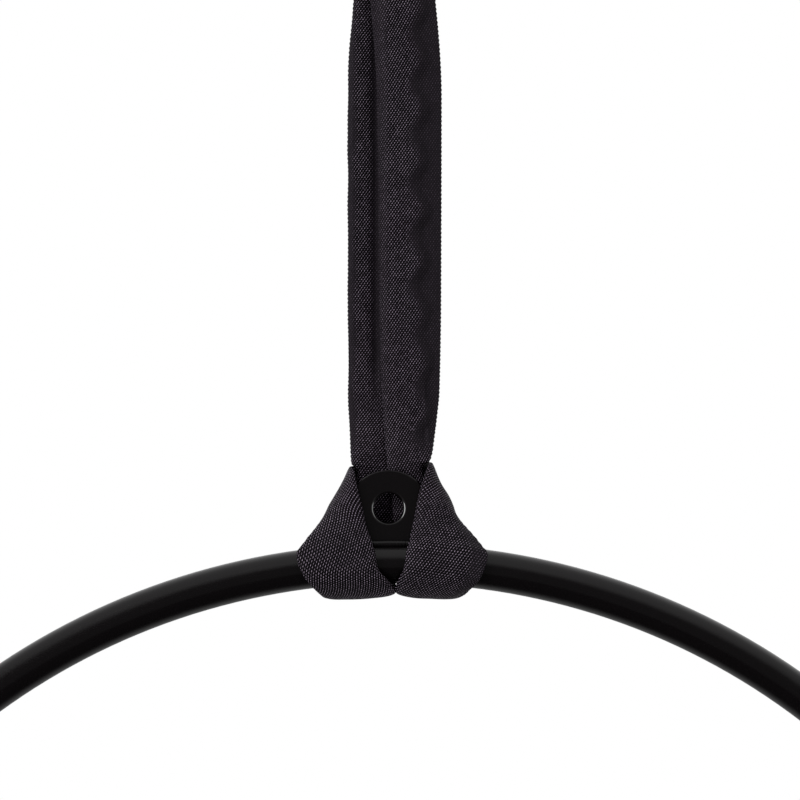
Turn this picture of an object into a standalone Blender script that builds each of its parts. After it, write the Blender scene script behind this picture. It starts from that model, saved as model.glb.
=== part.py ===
"""Aerial hoop hung from its welded tab by a girth-hitched round sling on a screw-gate connector."""
import math

import bmesh
import bpy
from mathutils import Matrix, Vector

# Driving dimensions, metres. The origin is the hang point: the inside of the connector's upper bow.
FIT_GAP = 0.0003            # clearance where two pieces touch
TUBE_D = 0.0254             # hoop tube, outside
TUBE_WALL = 0.0020
HOOP_OD = 0.900             # over the tube
BUTT_GAP = 0.0004           # between the tube's two ends at the bottom of the ring
BUTT_BEAD_W = 0.0060
BUTT_BEAD_H = 0.0011
SPIGOT_L = 0.060
SPIGOT_WALL = 0.0018
TAB_W = 0.054
TAB_T = 0.008
TAB_H = 0.0467              # top of the tab above the tube
TAB_EDGE = 0.0008           # chamfer of the outline and of the hole
TAB_HOLE_D = 0.020
TAB_HOLE_H = 0.0225         # hole centre above the tube
WELD_LEG = 0.0052
ROD_D = 0.012               # connector rod
BOW_R = 0.030               # both bows, to the rod's centre
STRAIGHT_L = 0.046          # connector's straight sides
PIN_D = 0.0026              # gate hinge pin
LATCH_D = 0.0020            # latch pin
TONGUE_T = 0.0040           # gate tongue in the frame's clevis
NOSE_T = 0.0030             # frame's nose tongue in the gate's fork
PLAY = 0.0004               # running clearance of the connector's moving pieces, each side
LOCK_L = 0.018
LOCK_WALL = 0.0022
LOCK_TRAVEL = 0.010         # from parked down to locked
LOCK_COVER = 0.0022         # reach of the locked sleeve over the frame's nose
SPRING_WIRE_D = 0.0005
SPRING_TURNS = 7
SLING_DROP = 0.4124         # connector's lower bar centre to the tube's centre
SLEEVE_WALL = 0.0012
LEG_W = 0.041               # one leg of the sling, flattened round its core
LEG_T = 0.0114
CHOKE_T = 0.0094            # a leg pressed by the choke
WRAP_T = 0.0082             # on the tube
BIGHT_T = 0.0100            # over the connector's bar
BAND_W = 0.0280             # choke bight, bunched
BAND_BACK_T = 0.0066        # choke bight behind the legs
JOIN_PATCH_H = 0.046        # stitched sleeve join behind the rear leg
JOIN_PATCH_T = 0.0008

MM = 0.001
TUBE_R = TUBE_D / 2
ROD_R = ROD_D / 2
HOOP_R = HOOP_OD / 2 - TUBE_R
BOW_TOP_Z = ROD_R - BOW_R
BOW_LOW_Z = BOW_TOP_Z - STRAIGHT_L
BAR_Z = BOW_LOW_Z - BOW_R
CROWN_Z = BAR_Z - SLING_DROP
HOOP_Z = CROWN_Z - HOOP_R
CROWN = Vector((0.0, 0.0, CROWN_Z))
WRAP_R = TUBE_R + 2 * FIT_GAP + WRAP_T / 2
TAB_FACE = TAB_T / 2 + FIT_GAP

# Heights above the tube's centre at which the sling's stretches meet
BAND_TOP = TUBE_R + TAB_H + 0.0021
BAND_LOW = BAND_TOP - BAND_W
HITCH_TOP = BAND_TOP + 0.0236
CHOKE_NECK_TOP = HITCH_TOP + 0.036
TWIST_Z = 0.2317
TWIST_Y = 0.0060             # middle of the two legs at that height
NECK_LOW = SLING_DROP - 0.037
NECK_TOP = SLING_DROP - 0.009
SPLIT = 0.0006              # open cut between two stretches of the sling
RING_N = 16                 # facets round a sleeve
TUBE_SIDES = 16
HOOP_STEPS = 56
CORE_N = 10

FABRIC = ("fabric", (0.020, 0.018, 0.022), 0.85, 0.0)
YARN = ("yarn", (0.72, 0.70, 0.64), 0.9, 0.0)
GLOSS = ("gloss_coat", (0.008, 0.008, 0.009), 0.12, 0.0)
RAW = ("raw_steel", (0.42, 0.42, 0.43), 0.45, 1.0)
ZINC = ("zinc", (0.62, 0.63, 0.64), 0.28, 1.0)


def clear_scene():
    for obj in list(bpy.data.objects):
        bpy.data.objects.remove(obj, do_unlink=True)


def new_collection(name):
    coll = bpy.data.collections.new(name)
    bpy.context.scene.collection.children.link(coll)
    return coll


def material_for(name, look):
    _, colour, roughness, metallic = look
    mat = bpy.data.materials.new(name)
    mat.use_nodes = True
    shader = mat.node_tree.nodes["Principled BSDF"]
    shader.inputs["Base Color"].default_value = (*colour, 1.0)
    shader.inputs["Roughness"].default_value = roughness
    shader.inputs["Metallic"].default_value = metallic
    mat.diffuse_color = (*colour, 1.0)
    return mat


def add_object(name, bm, coll, look, pivot=Vector((0, 0, 0))):
    """Mesh object with its origin on pivot; bm is in world places and is freed."""
    bmesh.ops.recalc_face_normals(bm, faces=bm.faces[:])
    bmesh.ops.translate(bm, vec=-pivot, verts=bm.verts[:])
    mesh = bpy.data.meshes.new(name)
    bm.to_mesh(mesh)
    bm.free()
    obj = bpy.data.objects.new(name, mesh)
    obj.location = pivot
    coll.objects.link(obj)
    if look:
        mesh.materials.append(material_for(name, look))
    return obj


def cut(obj, cutter, operation="DIFFERENCE"):
    mod = obj.modifiers.new(operation.title() + "_" + cutter.name, "BOOLEAN")
    mod.operation = operation
    mod.solver = "EXACT"
    mod.object = cutter
    cutter.hide_render = True
    cutter.display_type = "WIRE"


def box_bm(low, high):
    bm = bmesh.new()
    size = [high[i] - low[i] for i in range(3)]
    mid = [(high[i] + low[i]) / 2 for i in range(3)]
    bmesh.ops.create_cube(bm, size=1.0, matrix=Matrix.Translation(mid) @ Matrix.Diagonal((*size, 1.0)))
    return bm


def rod_bm(start, end, radius, sides=20, radius2=None):
    start = Vector(start)
    end = Vector(end)
    axis = end - start
    turn = axis.to_track_quat("Z", "Y").to_matrix().to_4x4()
    bm = bmesh.new()
    bmesh.ops.create_cone(
        bm, cap_ends=True, segments=sides, radius1=radius, radius2=radius if radius2 is None else radius2,
        depth=axis.length, matrix=Matrix.Translation((start + end) / 2) @ turn)
    return bm


def curve_mesh(name, points, depth, resolution, coll, look, caps=True, extra=None):
    """Round rod along points as a clean mesh object; extra(obj) may add modifiers before the mesh is made."""
    curve = bpy.data.curves.new(name + "_path", "CURVE")
    curve.dimensions = "3D"
    curve.bevel_depth = depth
    curve.bevel_resolution = resolution
    curve.use_fill_caps = caps
    curve.twist_mode = "MINIMUM"
    spline = curve.splines.new("POLY")
    spline.points.add(len(points) - 1)
    for point, place in zip(spline.points, points):
        point.co = (*place, 1.0)
    temp = bpy.data.objects.new(name + "_path", curve)
    bpy.context.scene.collection.objects.link(temp)
    bpy.context.view_layer.update()
    mesh = bpy.data.meshes.new_from_object(temp.evaluated_get(bpy.context.evaluated_depsgraph_get()))
    bm = bmesh.new()
    bm.from_mesh(mesh)
    bmesh.ops.remove_doubles(bm, verts=bm.verts[:], dist=0.00001)
    bpy.data.objects.remove(temp, do_unlink=True)
    bpy.data.meshes.remove(mesh)
    obj = add_object(name, bm, coll, look)
    if extra:
        extra(obj)
    return obj


def section(half_w, half_t, count, power):
    """Outline of a flattened sleeve, (across, through) pairs at even arc steps."""
    pts = []
    for i in range(720):
        c = math.cos(2 * math.pi * i / 720)
        s = math.sin(2 * math.pi * i / 720)
        pts.append((half_w * math.copysign(abs(c) ** (2 / power), c),
                    half_t * math.copysign(abs(s) ** (2 / power), s)))
    lengths = [0.0]
    for i in range(720):
        a = pts[i]
        b = pts[(i + 1) % 720]
        lengths.append(lengths[-1] + math.hypot(b[0] - a[0], b[1] - a[1]))
    out = []
    j = 0
    for k in range(count):
        want = lengths[-1] * k / count
        while lengths[j + 1] < want:
            j += 1
        out.append(pts[j % 720])
    return out


def crown_drop(x):
    """How far the ring's centreline lies below its crown at x."""
    return math.sqrt(HOOP_R ** 2 - x ** 2) - HOOP_R


def lerp_keys(keys, at):
    """Value at a height from (height, value, ...) rows that run downwards."""
    if at >= keys[0][0]:
        return keys[0][1:]
    for low, high in zip(keys[1:], keys):
        if at >= low[0]:
            f = (at - low[0]) / (high[0] - low[0])
            return tuple(lo + (hi - lo) * f for lo, hi in zip(low[1:], high[1:]))
    return keys[-1][1:]


def mm_rows(rows):
    return [tuple(v * MM for v in row) for row in rows]


# Left and right edge of each leg at heights above the tube's centre, mm.
REAR_X = mm_rows([
    (SLING_DROP / MM, -LEG_W / 2 / MM, LEG_W / 2 / MM), (294, -29.5, 11.5), (170, -29.5, 11.5),
    (110, -29.3, 10.6), (92, -28.9, 9.6), (80, -28.3, 8.4), (70, -27.8, 6.9), (65.5, -27.2, 6.3),
    (62, -25.0, 5.8), (57.5, -23.0, 5.2), (52, -24.2, 4.6), (46, -26.0, 4.0), (40, -28.4, 3.2),
    (34, -31.6, 2.0), (28, -37.5, -0.5), (14, -48.0, -1.4)])
FRONT_X = mm_rows([
    (SLING_DROP / MM, -LEG_W / 2 / MM, LEG_W / 2 / MM), (294, -10.8, 30.2), (170, -9.3, 30.0),
    (110, -8.0, 29.0), (92, -6.7, 27.3), (80, -6.0, 25.8), (70, -5.2, 24.3), (66.5, -4.8, 23.2),
    (63, -4.3, 20.6), (58.5, -3.8, 18.4), (52, -3.1, 20.2), (46, -2.4, 22.4), (40, -1.6, 25.6),
    (34, -0.8, 29.6), (28, 0.4, 36.0), (14, 1.4, 46.5)])
PAIR_Z = 0.330              # height at which the two legs lie together


def leg_t(z):
    return lerp_keys([(SLING_DROP, BIGHT_T), (PAIR_Z, LEG_T), (HITCH_TOP, CHOKE_T), (BAND_LOW, CHOKE_T),
                      (TUBE_R, WRAP_T)], z)[0]


def leg_y(z, rear):
    """Middle of a leg front to back: astride the bar above, behind the tab below."""
    pair = (LEG_T + FIT_GAP) / 2 + 0.0001
    front_low = TAB_FACE + CHOKE_T / 2 + 0.0002
    over = ROD_R + FIT_GAP + BIGHT_T / 2
    if rear:
        rear_low = front_low + CHOKE_T + 0.0004
        return lerp_keys([(SLING_DROP, over), (PAIR_Z, pair), (HITCH_TOP, rear_low), (0.042, rear_low),
                          (0.014, WRAP_R + 0.0002)], z)[0]
    return lerp_keys([(SLING_DROP, -over), (PAIR_Z, -pair), (HITCH_TOP, front_low), (0.034, front_low),
                      (0.028, front_low + 0.0004), (0.014, 0.0148)], z)[0]


def leg_station(z, rear):
    left, right = lerp_keys(REAR_X if rear else FRONT_X, z)
    y = leg_y(z, rear)
    return (Vector((left, y, z)), Vector((right, y, z)), leg_t(z), True, 0.0)


def tube_station(side, angle, outer, inner):
    """Stretch lying on the tube: angle 0 is behind it, -90 below, -180 in front."""
    out = []
    for x in (outer, inner):
        x = side * x * MM
        a = math.radians(angle)
        out.append(Vector((x, WRAP_R * math.cos(a), crown_drop(x) + WRAP_R * math.sin(a))))
    return (out[0], out[1], WRAP_T, False, 0.0)


def free_station(side, outer, inner, thick, bend=0.0):
    outer = Vector((side * outer[0], outer[1], outer[2])) * MM
    inner = Vector((side * inner[0], inner[1], inner[2])) * MM
    return (outer, inner, thick, False, bend)


# Front wings: outer edge, inner edge (x away from the tab, y, height, mm), thickness as a share of WRAP_T,
# and how far the middle bends outwards round the tab's side, mm.
LEFT_WING = [
    ((60.8, -15.7, 3.5), (11.5, -15.8, 8.5), 1.0, 0.0), ((57.5, -10.5, 13.0), (13.2, -13.8, 15.5), 0.97, 0.3),
    ((50.6, -4.0, 21.6), (15.4, -10.8, 25.0), 0.95, 2.0), ((44.6, 4.0, 28.0), (18.0, -9.8, 35.5), 0.9, 4.6),
    ((40.6, 11.0, 32.0), (20.6, -9.2, 45.0), 0.82, 4.2), ((38.2, 17.0, 33.6), (23.6, -7.4, 54.0), 0.72, 2.4),
    ((36.4, 21.0, 33.8), (26.0, -1.4, 59.6), 0.66, 1.0)]
RIGHT_WING = [
    ((58.5, -15.7, 3.5), (7.6, -15.8, 8.5), 1.0, 0.0), ((55.0, -10.5, 13.0), (9.6, -13.8, 15.5), 0.97, 0.3),
    ((47.4, -4.2, 21.4), (11.8, -10.8, 25.0), 0.95, 2.0), ((40.4, 1.6, 28.2), (14.0, -10.2, 35.5), 0.9, 5.6),
    ((37.0, 6.8, 32.0), (16.2, -9.8, 45.0), 0.82, 5.8), ((34.6, 12.4, 34.0), (18.8, -8.4, 54.0), 0.72, 4.0),
    ((31.4, 17.4, 34.6), (22.2, -3.4, 61.4), 0.66, 1.2)]
WRAP_ANGLES = (-8, -36, -63, -90, -117, -144, -172)
LEFT_OUTER = (55.5, 56.5, 53.0, 47.5, 50.0, 56.0, 60.0)
LEFT_INNER = (2.2, 2.2, 2.2, 2.2, 3.4, 6.2, 9.4)
RIGHT_OUTER = (53.5, 54.5, 51.0, 46.0, 48.5, 54.0, 57.8)
RIGHT_INNER = (2.2, 2.2, 2.2, 2.4, 3.0, 4.0, 5.8)
WRAP_LEG_Z = (0.078, 0.070, 0.066, 0.0625, 0.058, 0.052, 0.046, 0.040, 0.034, 0.028, 0.015)
# Bight behind the legs, left to right: lower edge, upper edge (x, y, height), mm, and share of BAND_BACK_T.
BAND_ROUTE = [
    ((-34.0, 24.2, 33.6), (-27.3, 7.0, 61.0), 0.79), ((-30.3, 27.0, 33.5), (-26.6, 16.6, 61.3), 0.79),
    ((-23.8, 28.4, 33.5), (-23.4, 24.2, 61.5), 0.85), ((-15.6, 28.5, 33.5), (-15.6, 28.3, 61.5), 1.0),
    ((-6.0, 28.5, 33.5), (-6.0, 28.5, 62.0), 1.0), ((2.4, 28.4, 33.7), (2.6, 28.2, 62.8), 1.0),
    ((8.6, 27.6, 33.9), (9.2, 26.8, 63.4), 1.0), ((13.8, 26.2, 34.2), (14.6, 23.4, 63.8), 0.94),
    ((19.4, 24.0, 34.5), (19.6, 17.6, 64.0), 0.85), ((24.6, 21.4, 34.6), (22.6, 12.0, 64.0), 0.79),
    ((28.6, 19.0, 34.6), (23.4, 4.6, 63.4), 0.79)]
BAND_SPLITS = (-15.6, 8.9)


def wrap_stations(rear):
    """One side of the hitch: down behind the tab, under the tube, up in front as a wing."""
    side = -1 if rear else 1
    out = []
    for z in (HITCH_TOP,) + WRAP_LEG_Z:
        left, right, thick, flat, bend = leg_station(z, rear)
        out.append((left, right, thick, flat, bend) if rear else (right, left, thick, flat, bend))
    outer = LEFT_OUTER if rear else RIGHT_OUTER
    inner = LEFT_INNER if rear else RIGHT_INNER
    out += [tube_station(side, a, o, i) for a, o, i in zip(WRAP_ANGLES, outer, inner)]
    for o, i, share, bend in (LEFT_WING if rear else RIGHT_WING):
        out.append(free_station(side, o, i, WRAP_T * share, bend * MM))
    return out


def hitch_route():
    """Whole hitch as one strip, from the rear leg round to the front leg, cut into wrap, band and wrap."""
    band = [free_station(1, low, top, BAND_BACK_T * share) for low, top, share in BAND_ROUTE]
    route = frames(smooth(wrap_stations(True) + band + list(reversed(wrap_stations(False))), 2))
    marks = []
    for x in BAND_SPLITS:
        behind = [i for i, row in enumerate(route) if row[0].y > 0.02 and row[0].z > BAND_LOW
                  and row[0].z < BAND_TOP - 0.008]
        marks.append(min(behind, key=lambda i: abs(route[i][0].x - x * MM)))
    one, two = marks
    start = shift(route[one], route[one + 1][0])
    end = shift(route[two], route[two - 1][0])
    return route[:one + 1], [start] + route[one + 1:two] + [end], route[two:]


def shift(row, toward):
    step = (toward - row[0]).normalized() * SPLIT
    return (row[0] + step,) + row[1:]


def smooth(stations, parts):
    """Catmull-Rom stations between the given ones."""
    out = []
    count = len(stations)
    for i in range(count - 1):
        rows = [stations[max(i - 1, 0)], stations[i], stations[i + 1], stations[min(i + 2, count - 1)]]
        steps = parts if not (rows[1][3] and rows[2][3]) else 1
        for s in range(steps):
            f = s / steps
            mix = []
            for k in (0, 1):
                a, b, c, d = (row[k] for row in rows)
                mix.append(0.5 * (2 * b + (c - a) * f + (2 * a - 5 * b + 4 * c - d) * f * f
                                  + (3 * b - 3 * c + d - a) * f ** 3))
            thick = rows[1][2] + (rows[2][2] - rows[1][2]) * f
            bend = rows[1][4] + (rows[2][4] - rows[1][4]) * f
            out.append((mix[0], mix[1], thick, rows[1][3] and s == 0, bend))
    out.append(stations[-1])
    return out


def frames(stations):
    """Middle, across and through directions of each station; through never flips along the way."""
    mids = [(row[0] + row[1]) / 2 for row in stations]
    out = []
    last = Vector((0, 1, 0))
    for i, (a, b, thick, flat, bend) in enumerate(stations):
        across = (b - a).normalized()
        tangent = mids[min(i + 1, len(mids) - 1)] - mids[max(i - 1, 0)]
        through = across.cross(tangent).normalized()
        if flat:
            through = Vector((0, 1, 0))
        if through.dot(last) < 0:
            through = -through
        last = through
        out.append((mids[i], across, through, (b - a).length, thick, bend))
    return out


def station_rings(rows, inset, count, power=2.7):
    rings = []
    for mid, across, through, wide, thick, bend in rows:
        pts = section(wide / 2 - inset, thick / 2 - inset, count, power)
        rings.append([CROWN + mid + across * u + through * (v + bend * (1 - (2 * u / wide) ** 2))
                      for u, v in pts])
    return rings


def loft(bm, rings, close_ends=True):
    """Skin rings that change shape along the way; returns the two end rings."""
    rows = [[bm.verts.new(p) for p in ring] for ring in rings]
    count = len(rows[0])
    for low, high in zip(rows, rows[1:]):
        for i in range(count):
            j = (i + 1) % count
            bm.faces.new((low[i], low[j], high[j], high[i]))
    if close_ends:
        bm.faces.new(list(reversed(rows[0])))
        bm.faces.new(rows[-1])
    return rows[0], rows[-1]


def sleeve_bm(outer, inner):
    """Open-ended hollow sleeve between two sets of rings."""
    bm = bmesh.new()
    ends_out = loft(bm, outer, close_ends=False)
    ends_in = loft(bm, inner, close_ends=False)
    for a, b in zip(ends_out, ends_in):
        for i in range(len(a)):
            j = (i + 1) % len(a)
            bm.faces.new((a[i], a[j], b[j], b[i]))
    return bm


def sling_stretch(name, rows, coll, pivot):
    """Sleeve and yarn core of one stretch; returns its length along the middle."""
    outer = station_rings(rows, 0.0, RING_N)
    inner = station_rings(rows, SLEEVE_WALL, RING_N)
    add_object(name + "_sleeve", sleeve_bm(outer, inner), coll, FABRIC, pivot)
    bm = bmesh.new()
    loft(bm, station_rings(rows, SLEEVE_WALL + 2 * FIT_GAP, CORE_N))
    add_object(name + "_core", bm, coll, YARN, pivot)
    return sum((b[0] - a[0]).length for a, b in zip(rows, rows[1:]))


def bight_rings(inset, count):
    """Sling over the curved lower bow: in front, over the bar's inner side, behind."""
    rings = []
    over = ROD_R + FIT_GAP + BIGHT_T / 2
    low = NECK_TOP + SPLIT
    for end in (-1, 1):
        rows = []
        for f in (0.0, 0.5):
            # below the bar the section flattens out to the leg's
            z = low + (SLING_DROP - low) * f
            left, right, thick = leg_station(z, end > 0)[:3]
            pts = section((right - left).length / 2 - inset, thick / 2 - inset, count, 2.7)
            mid = (left + right) / 2
            ring = []
            for u, v in pts:
                lift = f * f * bow_rise(u)
                ring.append(CROWN + Vector((mid.x + u, mid.y + end * v, z + lift)))
            rows.append(ring)
        if end < 0:
            rings += rows
            steps = 8
            for k in range(steps + 1):
                rings.append(bow_ring(-90 + 180 * k / steps, over, inset, count))
        else:
            rings += list(reversed(rows))
    return rings


def bow_rise(x):
    return BOW_R - math.sqrt(max(BOW_R ** 2 - x ** 2, 0.0))


def bow_ring(psi, over, inset, count):
    """Section wrapped round the bar at angle psi from the bow's inner side."""
    a = math.radians(psi)
    narrow = LEG_W / 2 - inset
    pts = section(narrow, BIGHT_T / 2 - inset, count, 2.7)
    ring = []
    for u, v in pts:
        m = over + v
        rho = BOW_R - m * math.cos(a)
        alpha = u / BOW_R
        ring.append(Vector((rho * math.sin(alpha), m * math.sin(a), BOW_LOW_Z - rho * math.cos(alpha))))
    return ring


def build_connector(coll, tools):
    """Screw-gate connector in the XZ plane, gate on +X, hinge above, nose below."""
    gate_x = BOW_R
    pin_z = BOW_TOP_Z - 0.0045
    clevis_end = pin_z - 0.0045
    roof_z = pin_z + 0.0050
    nose_z = BOW_LOW_Z + 0.0068
    path = [Vector((gate_x, 0, nose_z))]
    for k in range(13):
        a = math.pi * k / 12
        path.append(Vector((BOW_R * math.cos(a), 0, BOW_LOW_Z - BOW_R * math.sin(a))))
    for k in range(13):
        a = math.pi * k / 12
        path.append(Vector((-BOW_R * math.cos(a), 0, BOW_TOP_Z + BOW_R * math.sin(a))))
    path.append(Vector((gate_x, 0, clevis_end)))
    frame = curve_mesh("connector_frame", path, ROD_R, 6, coll, ZINC)
    slot = add_object("cut_clevis", box_bm((gate_x - 0.02, -TONGUE_T / 2 - PLAY, clevis_end - 0.01),
                                           (gate_x + 0.02, TONGUE_T / 2 + PLAY, roof_z)), tools, None)
    hole_r = PIN_D / 2 + FIT_GAP
    through = rod_bm((gate_x, -0.02, pin_z), (gate_x, 0.02, pin_z), hole_r)
    pin_hole = add_object("cut_hinge", through, tools, None)
    cut(frame, slot)
    cut(frame, pin_hole)
    tongue_top = nose_z + 0.0060
    notch_low = nose_z + 0.0018
    notch_top = nose_z + 0.0048
    tongue = box_bm((gate_x - 0.0035, -NOSE_T / 2, nose_z - 0.004), (gate_x + 0.0035, NOSE_T / 2, tongue_top))
    cut(frame, add_object("join_nose", tongue, tools, None), "UNION")
    notch = box_bm((gate_x - 0.01, -0.01, notch_low), (gate_x + 0.0008, 0.01, notch_top))
    cut(frame, add_object("cut_notch", notch, tools, None))

    hinge = Vector((gate_x, 0, pin_z))
    add_object("connector_hinge_pin", rod_bm((gate_x, -0.0054, pin_z), (gate_x, 0.0054, pin_z), PIN_D / 2),
               coll, RAW, hinge)

    # Gate: round bar, forked below for the nose, with a flat tongue above
    gate_end = nose_z + 0.0010
    shoulder = pin_z - 0.0090
    bar = rod_bm((gate_x, 0, gate_end), (gate_x, 0, shoulder), ROD_R)
    gate = add_object("connector_gate", bar, coll, ZINC, hinge)
    flat = bmesh.new()
    half = 0.0050
    flat_low = box_bm((gate_x - half, -TONGUE_T / 2, shoulder - 0.003), (gate_x + half, TONGUE_T / 2, pin_z))
    add_to(flat, flat_low)
    tongue_body = add_object("join_tongue", flat, tools, None)
    head = rod_bm((gate_x, -TONGUE_T / 2, pin_z), (gate_x, TONGUE_T / 2, pin_z), half - 0.0004, 24)
    tongue_head = add_object("join_tongue_head", head, tools, None)
    cut(gate, tongue_body, "UNION")
    cut(gate, tongue_head, "UNION")
    cut(gate, pin_hole)
    fork = box_bm((gate_x - 0.02, -NOSE_T / 2 - PLAY, gate_end - 0.01),
                  (gate_x + 0.02, NOSE_T / 2 + PLAY, nose_z + 0.0072))
    cut(gate, add_object("cut_fork", fork, tools, None))
    latch_z = nose_z + 0.0032
    latch_x = gate_x - 0.0006
    latch_hole = rod_bm((latch_x, -0.02, latch_z), (latch_x, 0.02, latch_z), LATCH_D / 2 + FIT_GAP)
    cut(gate, add_object("cut_latch", latch_hole, tools, None))
    latch = rod_bm((latch_x, -0.0055, latch_z), (latch_x, 0.0055, latch_z), LATCH_D / 2, 12)
    add_object("connector_latch_pin", latch, coll, RAW, hinge)
    bore_x = gate_x - 0.00275
    plunger_r = 0.0007
    spring_r = 0.0019
    spring_low = pin_z - 0.0230
    spring_top = pin_z - 0.0120
    small = rod_bm((bore_x, 0, spring_low + 0.004), (bore_x, 0, pin_z + 0.02), plunger_r + FIT_GAP, 12)
    cut(gate, add_object("cut_plunger", small, tools, None))
    large = rod_bm((bore_x, 0, spring_low), (bore_x, 0, spring_top + 0.0014), spring_r + FIT_GAP, 16)
    cut(gate, add_object("cut_spring", large, tools, None))
    plunger = rod_bm((bore_x, 0, spring_top + FIT_GAP), (bore_x, 0, roof_z - FIT_GAP), plunger_r, 10)
    plunger_obj = add_object("connector_plunger", plunger, coll, RAW, hinge)
    foot = rod_bm((bore_x, 0, spring_top + FIT_GAP), (bore_x, 0, spring_top + 0.0011), spring_r - 0.0002, 14)
    cut(plunger_obj, add_object("join_plunger_foot", foot, tools, None), "UNION")
    build_spring(coll, hinge, bore_x, spring_low + FIT_GAP, spring_top, spring_r)

    # Locking sleeve, parked above the joint of gate and nose
    lock_low = nose_z - LOCK_COVER + LOCK_TRAVEL
    bore = ROD_R + FIT_GAP
    outer = bore + LOCK_WALL
    collar = rod_bm((gate_x, 0, lock_low), (gate_x, 0, lock_low + LOCK_L), outer, 28)
    lock = add_object("connector_lock_sleeve", collar, coll, ZINC, Vector((gate_x, 0, lock_low)))
    inside = rod_bm((gate_x, 0, lock_low - 0.01), (gate_x, 0, lock_low + LOCK_L + 0.01), bore, 28)
    cut(lock, add_object("cut_lock_bore", inside, tools, None))
    edge = lock.modifiers.new("Edges", "BEVEL")
    edge.width = 0.0005
    edge.segments = 1
    edge.limit_method = "ANGLE"
    edge.angle_limit = math.radians(60)
    # sizes that the record repeats
    print("hinge pin", round(gate_x, 5), round(pin_z, 5), "lock", round(lock_low, 5))


def add_to(bm, other):
    """Move another bmesh's geometry into bm."""
    mesh = bpy.data.meshes.new("join")
    other.to_mesh(mesh)
    other.free()
    bm.from_mesh(mesh)
    bpy.data.meshes.remove(mesh)


def build_spring(coll, hinge, x, low, top, radius):
    """Helical return spring: a wire section turned by Screw."""
    wire_r = SPRING_WIRE_D / 2
    mean = radius - wire_r
    bm = bmesh.new()
    bmesh.ops.create_circle(bm, cap_ends=False, segments=6, radius=wire_r,
                            matrix=Matrix.Translation((mean, 0, wire_r)) @ Matrix.Rotation(math.pi / 2, 4, "X"))
    mesh = bpy.data.meshes.new("connector_spring")
    bm.to_mesh(mesh)
    bm.free()
    obj = bpy.data.objects.new("connector_spring", mesh)
    obj.location = (x, 0, low)
    mesh.materials.append(material_for("connector_spring", RAW))
    screw = obj.modifiers.new("Coil", "SCREW")
    screw.axis = "Z"
    screw.steps = 9
    screw.render_steps = 9
    screw.iterations = SPRING_TURNS
    screw.screw_offset = (top - low - SPRING_WIRE_D) / SPRING_TURNS
    screw.use_normal_calculate = True
    temp_coll = bpy.context.scene.collection
    temp_coll.objects.link(obj)
    bpy.context.view_layer.update()
    done = bpy.data.meshes.new_from_object(obj.evaluated_get(bpy.context.evaluated_depsgraph_get()))
    bm = bmesh.new()
    bm.from_mesh(done)
    bmesh.ops.translate(bm, vec=(x, 0, low), verts=bm.verts[:])
    bmesh.ops.holes_fill(bm, edges=[e for e in bm.edges if e.is_boundary], sides=0)
    bpy.data.objects.remove(obj, do_unlink=True)
    add_object("connector_spring", bm, coll, RAW, hinge)


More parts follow.
